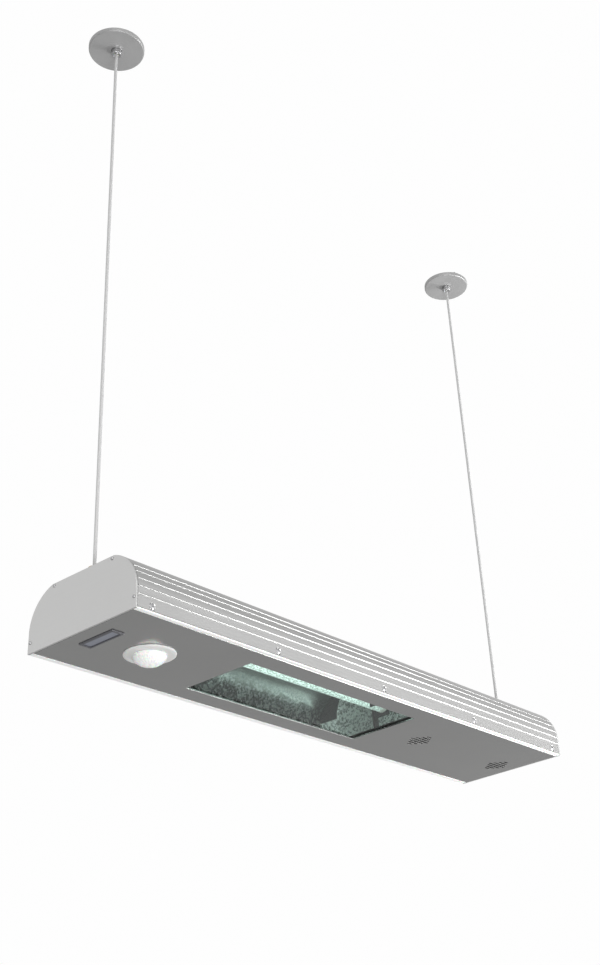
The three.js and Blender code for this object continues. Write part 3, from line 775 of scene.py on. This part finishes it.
# %% [markdown]
# The screws are small but they catch the light, so each kind is turned once, with its thread and a
# cross recess, and then copied into place. The mesh is made pointing along X; rotation_difference
# gives the turn that points it out of its own wall.
# %% Screws
THREAD_PITCH = 0.8 * MM
THREAD_DEPTH = 0.28 * MM


def thread(radius, start, end):
    """Ridges down a shank: rings, which look like a thread and stay one clean mesh."""
    points = []
    ridges = int(abs(end - start) / THREAD_PITCH)
    for i in range(ridges):
        top = start - i * THREAD_PITCH
        points += [(radius - THREAD_DEPTH, top), (radius, top - THREAD_PITCH / 2)]
    return points + [(radius - THREAD_DEPTH, end)]


def cross_recess(width, span, depth, top):
    w, tip = width / 2, span / 2
    quarter = [(w, tip), (w, w), (tip, w)]
    outline = []
    for turned in range(4):
        a = math.radians(90 * turned)
        c, s = math.cos(a), math.sin(a)
        outline += [(y * c + z * s, z * c - y * s) for y, z in quarter]
    return prism("cutter", outline, top - depth, top + 1 * MM)


def screw_mesh(name, head, radius, length, recess):
    """A screw along X, its seat at x = 0: head is the outside of the head, from the axis down."""
    shank = thread(radius, min(h for _, h in head), -length)
    piece = spun(name, head + shank + [(0, -length)], (0, 0, 0), sides=40, axis="X")
    width, span, depth = recess
    carved(piece, cross_recess(width, span, depth, head[0][1]))
    mesh = rounded(piece, 0.08 * MM, over=40).data
    bpy.data.objects.remove(piece)
    return mesh


def put_screw(mesh, node, out, head_top):
    """Puts a copy of the mesh where the node is, pointing along out."""
    low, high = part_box(node)
    out = Vector(out)
    centre = (low + high) / 2
    reach = (high - low).dot(Vector(map(abs, out))) / 2
    seat = centre + out * (reach - head_top)
    turn = Vector((1, 0, 0)).rotation_difference(out).to_matrix().to_4x4()
    piece = new_object(node + "_made", mesh.copy())
    piece.data.transform(Matrix.Translation(seat) @ turn)
    return stands_for(piece, screw_steel, node)


def round_head(head_r, head_t, shank_r):
    return arc((0, 0), (head_r, head_t), 90, 0, 8) + [(shank_r, 0)]


SCREW_R = 2 * MM  # side and ceiling screws
SUNK_LENGTH = 11.5 * MM
SUNK_CROWN_R = 8.36 * MM  # the raised face of a sunk head is part of this sphere,
SUNK_CROWN_DROP = 7.4 * MM  # whose centre lies this far below the wall's face
SUNK_CROWN_TO = 62.2  # degrees, where the crown meets the head's edge
SUNK_EDGE = (3.9 * MM, -0.25 * MM)
SUNK_NECK = (SCREW_R, -1.9 * MM)
SUNK_RECESS = (0.8 * MM, 3.6 * MM, 1.3 * MM)  # width, span and depth of the cross
BUTTON_R = 1 * MM
BUTTON_HEAD_T = 1.1 * MM
BUTTON_LENGTH = 12 * MM
BUTTON_RECESS = (0.4 * MM, 1.7 * MM, 0.6 * MM)
PAN_HEAD_R = 3.6 * MM
PAN_HEAD_T = 1.9 * MM
PAN_LENGTH = 20 * MM
PAN_RECESS = (0.8 * MM, 3.4 * MM, 1.2 * MM)

sunk_crown = arc((0, -SUNK_CROWN_DROP), (SUNK_CROWN_R, SUNK_CROWN_R), 90, SUNK_CROWN_TO, 8)
sunk_head = sunk_crown + [SUNK_EDGE, SUNK_NECK]
sunk = screw_mesh("sunk_screw", sunk_head, SCREW_R, SUNK_LENGTH, SUNK_RECESS)
button_head = round_head(2 * BUTTON_R, BUTTON_HEAD_T, BUTTON_R)
button = screw_mesh("button_screw", button_head, BUTTON_R, BUTTON_LENGTH, BUTTON_RECESS)
pan_head = round_head(PAN_HEAD_R, PAN_HEAD_T, SCREW_R)
pan = screw_mesh("pan_screw", pan_head, SCREW_R, PAN_LENGTH, PAN_RECESS)

for node in side_screws():
    put_screw(sunk, node, (0, 1 if "far" in node else -1, 0), 0)
for end, out in (("left", -1), ("right", 1)):
    for node in end_screws(end):
        put_screw(button, node, (out, 0, 0), BUTTON_HEAD_T)
    for side in ("near", "far"):
        put_screw(pan, f"ceiling_screw_{end}_{side}", (0, 0, -1), PAN_HEAD_T)
print("screws:", len(sunk.polygons), len(button.polygons), len(pan.polygons), "faces each kind")

# %% [markdown]
# The face panel is a folded tray of sheet metal. A fold is never sharp: the sheet bends round the
# press brake's tool, so the outline has a round outer corner and a smaller round inner one. The
# vents are round-ended punched slots in a diamond, longest in the middle.
# %% Face panel
SHEET = 2 * MM
BEND = 1.2 * MM
INNER_BEND = 0.4 * MM
panel_low, panel_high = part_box("face_panel")
panel_y = panel_high.y
flange = panel_high.z - lamp_floor


def tray_side():
    outer_bend = arc((panel_y - BEND, BEND), (BEND, BEND), 0, -90, 8)
    inner_bend = arc((panel_y - SHEET - INNER_BEND, SHEET + INNER_BEND), (INNER_BEND, INNER_BEND), -90, 0, 6)
    return [(panel_y, flange)] + outer_bend, inner_bend + [(panel_y - SHEET, flange)]


outside, inside = tray_side()
section = outside + mirrored(outside) + [(-y, z) for y, z in inside[::-1]] + inside
panel = prism("face_panel_made", lifted(section), panel_low.x, panel_high.x)


def block(x0, x1, half_y, z0, z1):
    outline = [(x0, -half_y), (x1, -half_y), (x1, half_y), (x0, half_y)]
    return prism("cutter", outline, z0, z1, axis="Z")


WINDOW = (-208 * MM, 110 * MM, 54.3 * MM)
SLOT_WIDTH = 3 * MM
SLOT_PITCH = 5.8 * MM
SLOT_LONGEST = 38.8 * MM
SLOT_ROWS = 3
DISPLAY_NECK_X = 7.5 * MM
DISPLAY_NECK_Y = 26.5 * MM
SENSOR_HOLE_R = 14.3 * MM
below, above = lamp_floor - 1 * MM, lamp_floor + SHEET + 1 * MM
display_x = middle_of("display_bezel").x
sensor_x = middle_of("sensor_body").x


def vent_slots(x):
    slots = []
    for row in range(-SLOT_ROWS, SLOT_ROWS + 1):
        half = SLOT_LONGEST / 2 * (1 - abs(row) / (SLOT_ROWS + 1))
        r, y = SLOT_WIDTH / 2, row * SLOT_PITCH
        outline = arc((x + half - r, y), (r, r), -90, 90, 8) + arc((x - half + r, y), (r, r), 90, 270, 8)
        slots.append(prism("cutter", outline, below, above, axis="Z"))
    return slots


openings = [
    block(*WINDOW, below, above),
    block(display_x - DISPLAY_NECK_X, display_x + DISPLAY_NECK_X, DISPLAY_NECK_Y, below, above),
    drill(SENSOR_HOLE_R, (sensor_x, 0, lamp_floor), 10 * MM, sides=48),
]
for end in ("left", "right"):
    openings += vent_slots(middle_of(f"fan_frame_{end}").x)
for node in side_screws():
    centre = middle_of(node)
    wall = math.copysign(panel_y - SHEET / 2, centre.y)
    openings.append(drill(SCREW_HOLE_R, (centre.x, wall, centre.z), 4 * MM, "Y", 24))
carved(panel, *openings)
rounded(panel, 0.22 * MM, over=50)
stands_for(panel, panel_silver, "face_panel")
print("face panel has", len(panel.data.polygons), "faces and", len(openings), "openings")

# %% [markdown]
# The edge strips, the window glass and the display are simple pressed or cut shapes. Their own flat
# faces are right, so a softened copy is enough: it keeps the size and only breaks the edges.
# %% Strips, window and display
SOFT_EDGES = [
    ("edge_strip_near", 0.5 * MM, edge_white),
    ("edge_strip_far", 0.5 * MM, edge_white),
    ("window_glass", 0.3 * MM, pane_glass),
    ("display_bezel", 0.25 * MM, bezel_plastic),
    ("display_screen", 0.3 * MM, screen),
    ("tube_holder_left", 0.8 * MM, black_plastic),
    ("tube_holder_right", 0.8 * MM, black_plastic),
    ("driver", 1.0 * MM, driver_case),
    ("control_board", 0.2 * MM, circuit_board),
    ("fan_frame_left", 0.4 * MM, black_plastic),
    ("fan_frame_right", 0.4 * MM, black_plastic),
]
for node, width, material in SOFT_EDGES:
    piece = stands_for(softened(node, width), material, node)
    print(piece.name, len(piece.data.polygons), "faces")

# %% [markdown]
# The reflector is one thin sheet, rolled into a half ellipse over the tube, with a flat lip along
# each side that rests on the glass. A leaf closes its right-hand end, with a notch for the tube and
# its holder. The cheek is a plate across the middle that keeps the curve and arches over the tube.
# %% Reflector and cheek
reflector_low, reflector_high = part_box("reflector")
LIP = 8 * MM
LEAF = 1 * MM
half_y = reflector_high.y - LIP
foot = reflector_low.z - lamp_floor
lip_top = foot + LEAF
over_arc = arc((0, lip_top), (half_y, REFLECTOR_RISE), 0, 180, 96)
under_arc = arc((0, lip_top), (half_y - LEAF, REFLECTOR_RISE - LEAF), 180, 0, 96)
section = [(half_y + LIP, foot), (half_y + LIP, lip_top), *over_arc, (-half_y - LIP, lip_top),
           (-half_y - LIP, foot), (LEAF - half_y, foot), *under_arc, (half_y - LEAF, foot)]
reflector = rounded(prism("bend", lifted(section), reflector_low.x, reflector_high.x), 0.2 * MM, over=50)

NOTCH_Y = 15.5 * MM
NOTCH_Z = (18 * MM, 51 * MM)
LEG_Y = 4.7 * MM
leaf_arc = arc((0, lip_top), (half_y - LEAF / 2, REFLECTOR_RISE - LEAF / 2), 0, 180, 96)
leaf = prism("leaf", lifted(leaf_arc), reflector_high.x - LEAF, reflector_high.x)


def leaf_cutter(y0, y1, z0, z1):
    outline = [(y0, z0), (y1, z0), (y1, z1), (y0, z1)]
    return prism("cutter", lifted(outline), reflector_high.x - 2 * LEAF, reflector_high.x + LEAF)


carved(leaf, leaf_cutter(-NOTCH_Y, NOTCH_Y, *NOTCH_Z))
carved(leaf, leaf_cutter(LEG_Y, NOTCH_Y, 0, NOTCH_Z[0] + LEAF))
reflector = joined("reflector_made", [reflector, rounded(leaf, 0.2 * MM, over=50)])
stands_for(reflector, reflector_mirror, "reflector")

ARCH = (29.5 * MM, 40 * MM)
cheek_low, cheek_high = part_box("reflector_cheek")
cheek_foot = cheek_low.z - lamp_floor
inside_leaf = LEAF + 0.3 * MM
cheek_arc = arc((0, lip_top), (half_y - inside_leaf, REFLECTOR_RISE - inside_leaf), 0, 180, 96)
cheek_arc = [p for p in cheek_arc if p[1] > cheek_foot]
edge_y = cheek_high.y
opening = arc((0, cheek_foot), ARCH, 180, 0, 48)
cheek_section = [(edge_y, cheek_foot), *cheek_arc, (-edge_y, cheek_foot), *opening]
cheek = prism("reflector_cheek_made", lifted(cheek_section), cheek_low.x, cheek_high.x)
# The cheek is a real plate, but its black is painted shade: it draws the dark shadow round the tube's end.
stands_for(rounded(cheek, 0.3 * MM, over=50), black_plastic, "reflector_cheek")
print("reflector spans", round(reflector_high.x - reflector_low.x, 3), "m")

# %% [markdown]
# The tube is quartz, sealed with round shoulders, and held at both ends in ceramic caps. Turning
# one profile along X gives the glass; the caps are two more turned rings on it.
# %% Tube and caps
tube_z = (tube_low.z + tube_high.z) / 2
tube_r = (tube_high.z - tube_low.z) / 2
CAP = 14 * MM
CAP_LIFT = 0.12 * MM


def tube_skin(radius, end):
    """Half of the tube's outline, from its middle to its closed end."""
    soft = radius / 3
    shoulder = arc((radius - soft, end - soft), (soft, soft), 0, 90, 8)
    return [(radius, 0), (radius, end - soft), *shoulder, (0, end)]


outer_half = tube_skin(tube_r, tube_half)
profile = outer_half[1:] + [(r, -h) for r, h in reversed(outer_half[1:])]
tube_x = (tube_low.x + tube_high.x) / 2
tube = spun("lamp_tube_made", profile, (tube_x, 0, tube_z), sides=96, axis="X")
stands_for(tube, tube_quartz, "lamp_tube")
for end, out in (("left", -1), ("right", 1)):
    at = tube_half - CAP
    ring = [(tube_r - 0.2 * MM, at), (tube_r + CAP_LIFT, at), (tube_r + CAP_LIFT, tube_half - 5.2 * MM),
            (tube_r - 0.2 * MM, tube_half - 5.2 * MM)]
    cap = spun(f"tube_cap_{end}", [(r, out * h) for r, h in ring], (tube_x, 0, tube_z), sides=96, axis="X")
    goes_with(cap, ceramic, "lamp_tube")
print("tube has", len(tube.data.polygons), "faces")

# %% [markdown]
# The presence sensor is a round white body with a low rim, and a milky lens that bulges below it.
# The lens is an array of small facets, each aimed at its own patch of floor. Here they are real:
# the radius of the dome dips a little along the borders between cells.
# %% Presence sensor
body_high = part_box("sensor_body")[1]
dome_low, dome_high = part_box("sensor_dome")
FLANGE_R = body_high.x - sensor_x
DOME_R = dome_high.x - sensor_x
FLANGE_T = 2.4 * MM
DOME_SEAT = 1.3 * MM
DOME_DROP = lamp_floor - dome_low.z - FLANGE_T
NECK_R = 14 * MM
NECK_TOP = 22 * MM
LIFT = 0.3 * MM
RIM = (4 * MM, FLANGE_T - LIFT)
body_profile = [
    (0, -DOME_SEAT), (DOME_R + 0.05 * MM, -DOME_SEAT), (DOME_R + 0.05 * MM, -FLANGE_T),
    *arc((FLANGE_R - RIM[0], -LIFT), RIM, -90, 0, 16),
    (NECK_R, -LIFT), (NECK_R, NECK_TOP), (0, NECK_TOP),
]
sensor = spun("sensor_body_made", body_profile, (sensor_x, 0, lamp_floor), sides=128)
stands_for(tidy(sensor), sensor_white, "sensor_body")

FACET_RINGS = 4
FACETS_ROUND = 20
FACET_DIP = 0.35 * MM
DOME_SIDES = 160
DOME_STEPS = 40


def facet_dip(turned, raised):
    """How far the lens dips at an angle round it and a share of the way from rim to tip."""
    across = abs(math.sin(math.pi * raised * FACET_RINGS))
    around = abs(math.sin(turned * FACETS_ROUND / 2))
    return FACET_DIP * (1 - min(across, around) ** 0.5) * (1 - raised ** 6)


def lens_dome():
    points, faces = [], []
    for step in range(DOME_STEPS):
        raised = step / DOME_STEPS
        tilt = math.radians(90 * raised)
        for i in range(DOME_SIDES):
            turned = 2 * math.pi * i / DOME_SIDES
            dip = facet_dip(turned, raised) if step else 0
            r = (DOME_R - dip) * math.cos(tilt)
            h = -FLANGE_T - (DOME_DROP - dip) * math.sin(tilt)
            points.append((r * math.cos(turned), r * math.sin(turned), h))
    lid = len(points)
    lid_h = -DOME_SEAT - LIFT
    points += [(x, y, lid_h) for x, y, _ in points[:DOME_SIDES]]
    tip = len(points)
    points.append((0, 0, -FLANGE_T - DOME_DROP))
    rows = [lid] + [step * DOME_SIDES for step in range(DOME_STEPS)]
    for a, b in zip(rows, rows[1:]):
        ring = [(i, (i + 1) % DOME_SIDES) for i in range(DOME_SIDES)]
        faces += [[a + i, a + j, b + j, b + i] for i, j in ring]
    last = rows[-1]
    faces += [[last + i, last + (i + 1) % DOME_SIDES, tip] for i in range(DOME_SIDES)]
    faces.append([lid + i for i in reversed(range(DOME_SIDES))])
    piece = mesh_of("sensor_dome_made", points, faces)
    piece.data.transform(Matrix.Translation((sensor_x, 0, lamp_floor)))
    return tidy(piece)


dome = stands_for(lens_dome(), lens_white, "sensor_dome")
print("lens has", FACET_RINGS * FACETS_ROUND, "facets in", len(dome.data.polygons), "faces")

# %% [markdown]
# Behind each vent a small fan pulls the lamp's heat out. Its rotor is moulded in one piece: a cup
# over the motor and seven blades that twist from steep at the hub to flat at the tip, because the
# tip moves faster through the air. Each blade is a thin loft between hub and tip.
# %% Fan rotors
BLADES = 7
HUB_R = 8.5 * MM
HUB_SOFT = 1 * MM
HUB_CLEARANCE = 0.3 * MM
TIP_R = 17.8 * MM
BLADE_T = 0.8 * MM
CHORD = 8.6 * MM
BLADE_STEPS = 8


def blade_points(reach, spin):
    """Both skins of one blade's section at a share of the way out, as two rows of points."""
    r = HUB_R - 0.5 * MM + (TIP_R - HUB_R + 0.5 * MM) * reach
    pitch = math.radians(42 - 16 * reach)
    rows = []
    for side in (-1, 1):
        for i in range(BLADE_STEPS + 1):
            along = CHORD * (i / BLADE_STEPS - 0.5)
            hollow = 0.9 * MM * (1 - (2 * i / BLADE_STEPS - 1) ** 2)
            thick = side * BLADE_T / 2 * math.sqrt(max(0.05, 1 - (2 * i / BLADE_STEPS - 1) ** 4))
            lift = hollow + thick
            sweep = along * math.cos(pitch) - lift * math.sin(pitch)
            height = along * math.sin(pitch) + lift * math.cos(pitch)
            angle = spin + sweep / r
            rows.append((r * math.cos(angle), r * math.sin(angle), height))
    return rows


def fan_rotor(end):
    node = f"fan_rotor_{end}"
    low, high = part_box(node)
    centre = (low + high) / 2
    half = (high.z - low.z) / 2
    top = half - HUB_CLEARANCE
    cup = [(0, -half), (HUB_R - HUB_SOFT, -half), (HUB_R, -half + HUB_SOFT), (HUB_R, top), (0, top)]
    parts = [spun("hub", cup, (0, 0, 0), sides=64)]
    for blade in range(BLADES):
        spin = 2 * math.pi * blade / BLADES
        points, faces = [], []
        for step in range(BLADE_STEPS + 1):
            points += blade_points(step / BLADE_STEPS, spin)
        wide = BLADE_STEPS + 1
        loop = list(range(wide)) + list(range(2 * wide - 1, wide - 1, -1))
        for step in range(BLADE_STEPS):
            a, b = step * 2 * wide, (step + 1) * 2 * wide
            for i, j in zip(loop, loop[1:] + loop[:1]):
                faces.append([a + i, a + j, b + j, b + i])
        faces.append(loop[::-1])
        faces.append([BLADE_STEPS * 2 * wide + i for i in loop])
        parts.append(tidy(mesh_of("blade", points, faces)))
    rotor = tidy(joined(node + "_made", parts))
    rotor.data.transform(Matrix.Translation((centre.x, centre.y, centre.z)))
    return stands_for(rotor, black_plastic, node)


for end in ("left", "right"):
    rotor = fan_rotor(end)
    print(rotor.name, len(rotor.data.polygons), "faces")

# %% [markdown]
# Each cable ends in a steel ball that swivels in a nylon seat, and a turned socket closes over it.
# The sockets in the lamp point up and those in the ceiling plates point down, so one profile,
# measured from the ball's centre towards the mouth, serves both with its sign changed.
# %% Balls, seats and sockets
BALL_R = 4.2 * MM
SEAT_IN = 4.5 * MM
SEAT_OUT = 5.7 * MM
SOCKET_IN = 6 * MM
SOCKET_OUT = 7.4 * MM
MOUTH = 40  # degrees, half angle
NOSE = 6.2 * MM
NOSE_IN = 4.7 * MM
NOSE_SOFT = 1 * MM
FLANGE_OUT = 11 * MM
FLANGE_THICK = 2.5 * MM
SEAT_BELOW, SEAT_ABOVE = -5, 47  # degrees from the ball's middle


def socket_nose(tail):
    cup = arc((0, 0), (SOCKET_IN, SOCKET_IN), 0, 90 - MOUTH, 12)
    lip = arc((SOCKET_OUT - NOSE_SOFT, NOSE - NOSE_SOFT), (NOSE_SOFT, NOSE_SOFT), 90, 0, 6)
    return [(SOCKET_IN, tail), *cup, (NOSE_IN, NOSE), *lip]


def anchor_profile():
    ball = middle_of("bottom_ball_left").z
    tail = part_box("anchor_left")[0].z - ball
    flange_top = lamp_floor + HEIGHT - WALL - 0.3 * MM - ball
    flange_foot = flange_top - FLANGE_THICK
    return socket_nose(tail) + [(SOCKET_OUT, flange_top), (FLANGE_OUT, flange_top),
                                (FLANGE_OUT, flange_foot),
                                (SOCKET_OUT, flange_foot), (SOCKET_OUT, tail)]


def seat_profile():
    outside = arc((0, 0), (SEAT_OUT, SEAT_OUT), SEAT_ABOVE, SEAT_BELOW, 12)
    return outside + arc((0, 0), (SEAT_IN, SEAT_IN), SEAT_BELOW, SEAT_ABOVE, 12)


def turned_down(profile):
    return [(r, -h) for r, h in profile]


for end in ("left", "right"):
    bottom = middle_of(f"bottom_ball_{end}")
    top = middle_of(f"top_ball_{end}")
    socket = spun(f"anchor_{end}_made", anchor_profile(), bottom, sides=72)
    stands_for(rounded(socket, 0.2 * MM), socket_brass, f"anchor_{end}")
    for node, at, profile in ((f"anchor_seat_{end}", bottom, seat_profile()),
                              (f"top_seat_{end}", top, turned_down(seat_profile()))):
        stands_for(rounded(spun(node + "_made", profile, at, sides=64), 0.15 * MM), seat_nylon, node)
    for node, at in ((f"bottom_ball_{end}", bottom), (f"top_ball_{end}", top)):
        ball = spun(node + "_made", arc((0, 0), (BALL_R, BALL_R), -90, 90, 32), at, sides=48)
        stands_for(ball, ball_steel, node)
print("sockets, seats and balls at both ends of both cables")

# %% [markdown]
# A ceiling plate is a turned steel disc with its socket in the middle and two screw holes. The
# canopy is a thin spun cup that hides it. Its rim is rolled to a round edge, which is what shows
# as a dark line round the disc when it is seen from below.
# %% Ceiling plates and canopies
PLATE_R = 34 * MM
PLATE_T = 2.2 * MM
PLATE_HOLE_R = 2.4 * MM
CANOPY_R = 40 * MM
CANOPY_H = 6.5 * MM
CANOPY_WALL = 1.3 * MM
CANOPY_EDGE = 2 * MM
CANOPY_GAP = 0.3 * MM

for end in ("left", "right"):
    ball = middle_of(f"top_ball_{end}")
    tail = ball.z
    profile = socket_nose(tail) + [(SOCKET_OUT, tail + PLATE_T), (PLATE_R, tail + PLATE_T), (PLATE_R, tail)]
    plate = spun(f"ceiling_plate_{end}_made", turned_down(profile), ball, sides=120)
    holes = [middle_of(f"ceiling_screw_{end}_{side}") for side in ("near", "far")]
    carved(plate, *[drill(PLATE_HOLE_R, (c.x, c.y, 0), 12 * MM, sides=32) for c in holes])
    stands_for(rounded(plate, 0.2 * MM), plate_steel, f"ceiling_plate_{end}")

    inner_edge = CANOPY_EDGE - CANOPY_WALL
    bend_at = (CANOPY_R - CANOPY_EDGE, CANOPY_EDGE - CANOPY_H)
    hole_r = SOCKET_OUT + CANOPY_GAP
    cup = [(hole_r, -CANOPY_H), *arc(bend_at, (CANOPY_EDGE, CANOPY_EDGE), -90, 0, 12),
           (CANOPY_R, 0), (CANOPY_R - CANOPY_WALL, 0),
           *arc(bend_at, (inner_edge, inner_edge), 0, -90, 6), (hole_r, CANOPY_WALL - CANOPY_H)]
    canopy = spun(f"canopy_{end}_made", cup, (ball.x, 0, 0), sides=160)
    stands_for(rounded(canopy, 0.2 * MM), canopy_grey, f"canopy_{end}")
    print(canopy.name, len(canopy.data.polygons), "faces")

# %% [markdown]
# Both cables are pulled straight by the lamp's weight, from the balls in the ceiling plates to the
# balls in the lamp. They are held at both ends, so each is one rigid link that swings with its
# balls. A fine turned shape is right for the jacket, and its ends are rounded where they meet.
# %% Suspension cables
for end in ("left", "right"):
    low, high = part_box(f"cable_{end}")
    centre = (low + high) / 2
    half = (high.z - low.z) / 2
    radius = (high.y - low.y) / 2
    skin = [(0, -half), (radius, -half), (radius, half), (0, half)]
    cable = spun(f"cable_{end}_made", skin, centre, sides=40)
    stands_for(rounded(cable, 0.3 * MM), cable_jacket, f"cable_{end}")
    print(cable.name, round(2 * half, 4), "m long,", round(2000 * radius, 1), "mm thick")

# %% [markdown]
# The studio is a white room without walls. The camera sees plain white; what lights the lamp is
# a softer sky, so that bright metal mirrors grey and not white. Light Path tells the two apart.
# The sky is brightest a third of the way up and dimmer overhead, which is what shades the
# shoulders. The pale floor lies far below, as it would under a hung lamp, and the panel mirrors it.
# %% Studio
FLOOR_Z = -2.45
FLOOR_REACH = 14
BACKDROP = 0.99
SKY = ((0.0, 0.72), (0.5, 0.80), (0.62, 0.56), (1.0, 0.52))


def studio_world():
    world = bpy.data.worlds.new("studio")
    room = Shading(world, "ShaderNodeOutputWorld")
    height = room.axis(room.node("ShaderNodeTexCoord", out="Generated"), "Z")
    lit = room.node("ShaderNodeBackground", None, {"Color": room.steps(height, *SKY)})
    seen = room.node("ShaderNodeBackground", None, {"Color": grey(BACKDROP)})
    by_camera = room.node("ShaderNodeLightPath", out="Is Camera Ray")
    mixed = room.node("ShaderNodeMixShader", None, {0: by_camera, 1: lit, 2: seen})
    room.feed(room.output, {"Surface": mixed})
    bpy.context.scene.world = world


def pale_floor():
    paint = Paint("pale_floor")
    cloud = paint.noise(1.2, detail=3)
    paint.set(base_color=paint.blend(cloud, grey(0.57), grey(0.60)), roughness=0.6)
    side = FLOOR_REACH
    floor = mesh_of("floor", [(-side, -side, FLOOR_Z), (side, -side, FLOOR_Z),
                              (side, side, FLOOR_Z), (-side, side, FLOOR_Z)], [[0, 1, 2, 3]])
    floor.data.materials.append(paint.material)
    return floor


studio_world()
floor = pale_floor()
print("floor", floor.name, "at", FLOOR_Z, "m")

# %% [markdown]
# Four soft lights shape the lamp. The key stands high on the camera's side. The rim light stands
# low beyond the right-hand end, where only the beads' undersides mirror it, and it draws the bright
# lines along them. Two fills lie low, so that white pieces that face down still look white. All but
# the key have grids, which narrow their beams to a spread, so that they light the lamp and not the
# floor.
# %% Lights
LIGHTS = [
    ("key", (-2.2, -2.6, 1.2), (0.0, 0.0, -0.8), 2.0, 26, 180),
    ("rim", (2.4, -2.7, -1.15), (0.1, 0.0, -0.8), 1.3, 5, 60),
    ("left fill", (-1.25, -1.5, -2.0), (-0.1, 0.0, -0.7), 1.2, 5.5, 70),
    ("right fill", (1.7, -0.9, -1.9), (0.4, 0.0, -0.1), 1.0, 7, 60),
]
for name, at, target, width, power, spread in LIGHTS:
    lamp = bpy.data.lights.new(name, "AREA")
    lamp.size = width
    lamp.energy = power
    lamp.spread = math.radians(spread)
    holder = bpy.data.objects.new(name, lamp)
    holder.location = at
    holder.rotation_euler = (Vector(target) - Vector(at)).to_track_quat("-Z", "Y").to_euler()
    bpy.context.scene.collection.objects.link(holder)
    print("light", name, power, "W")
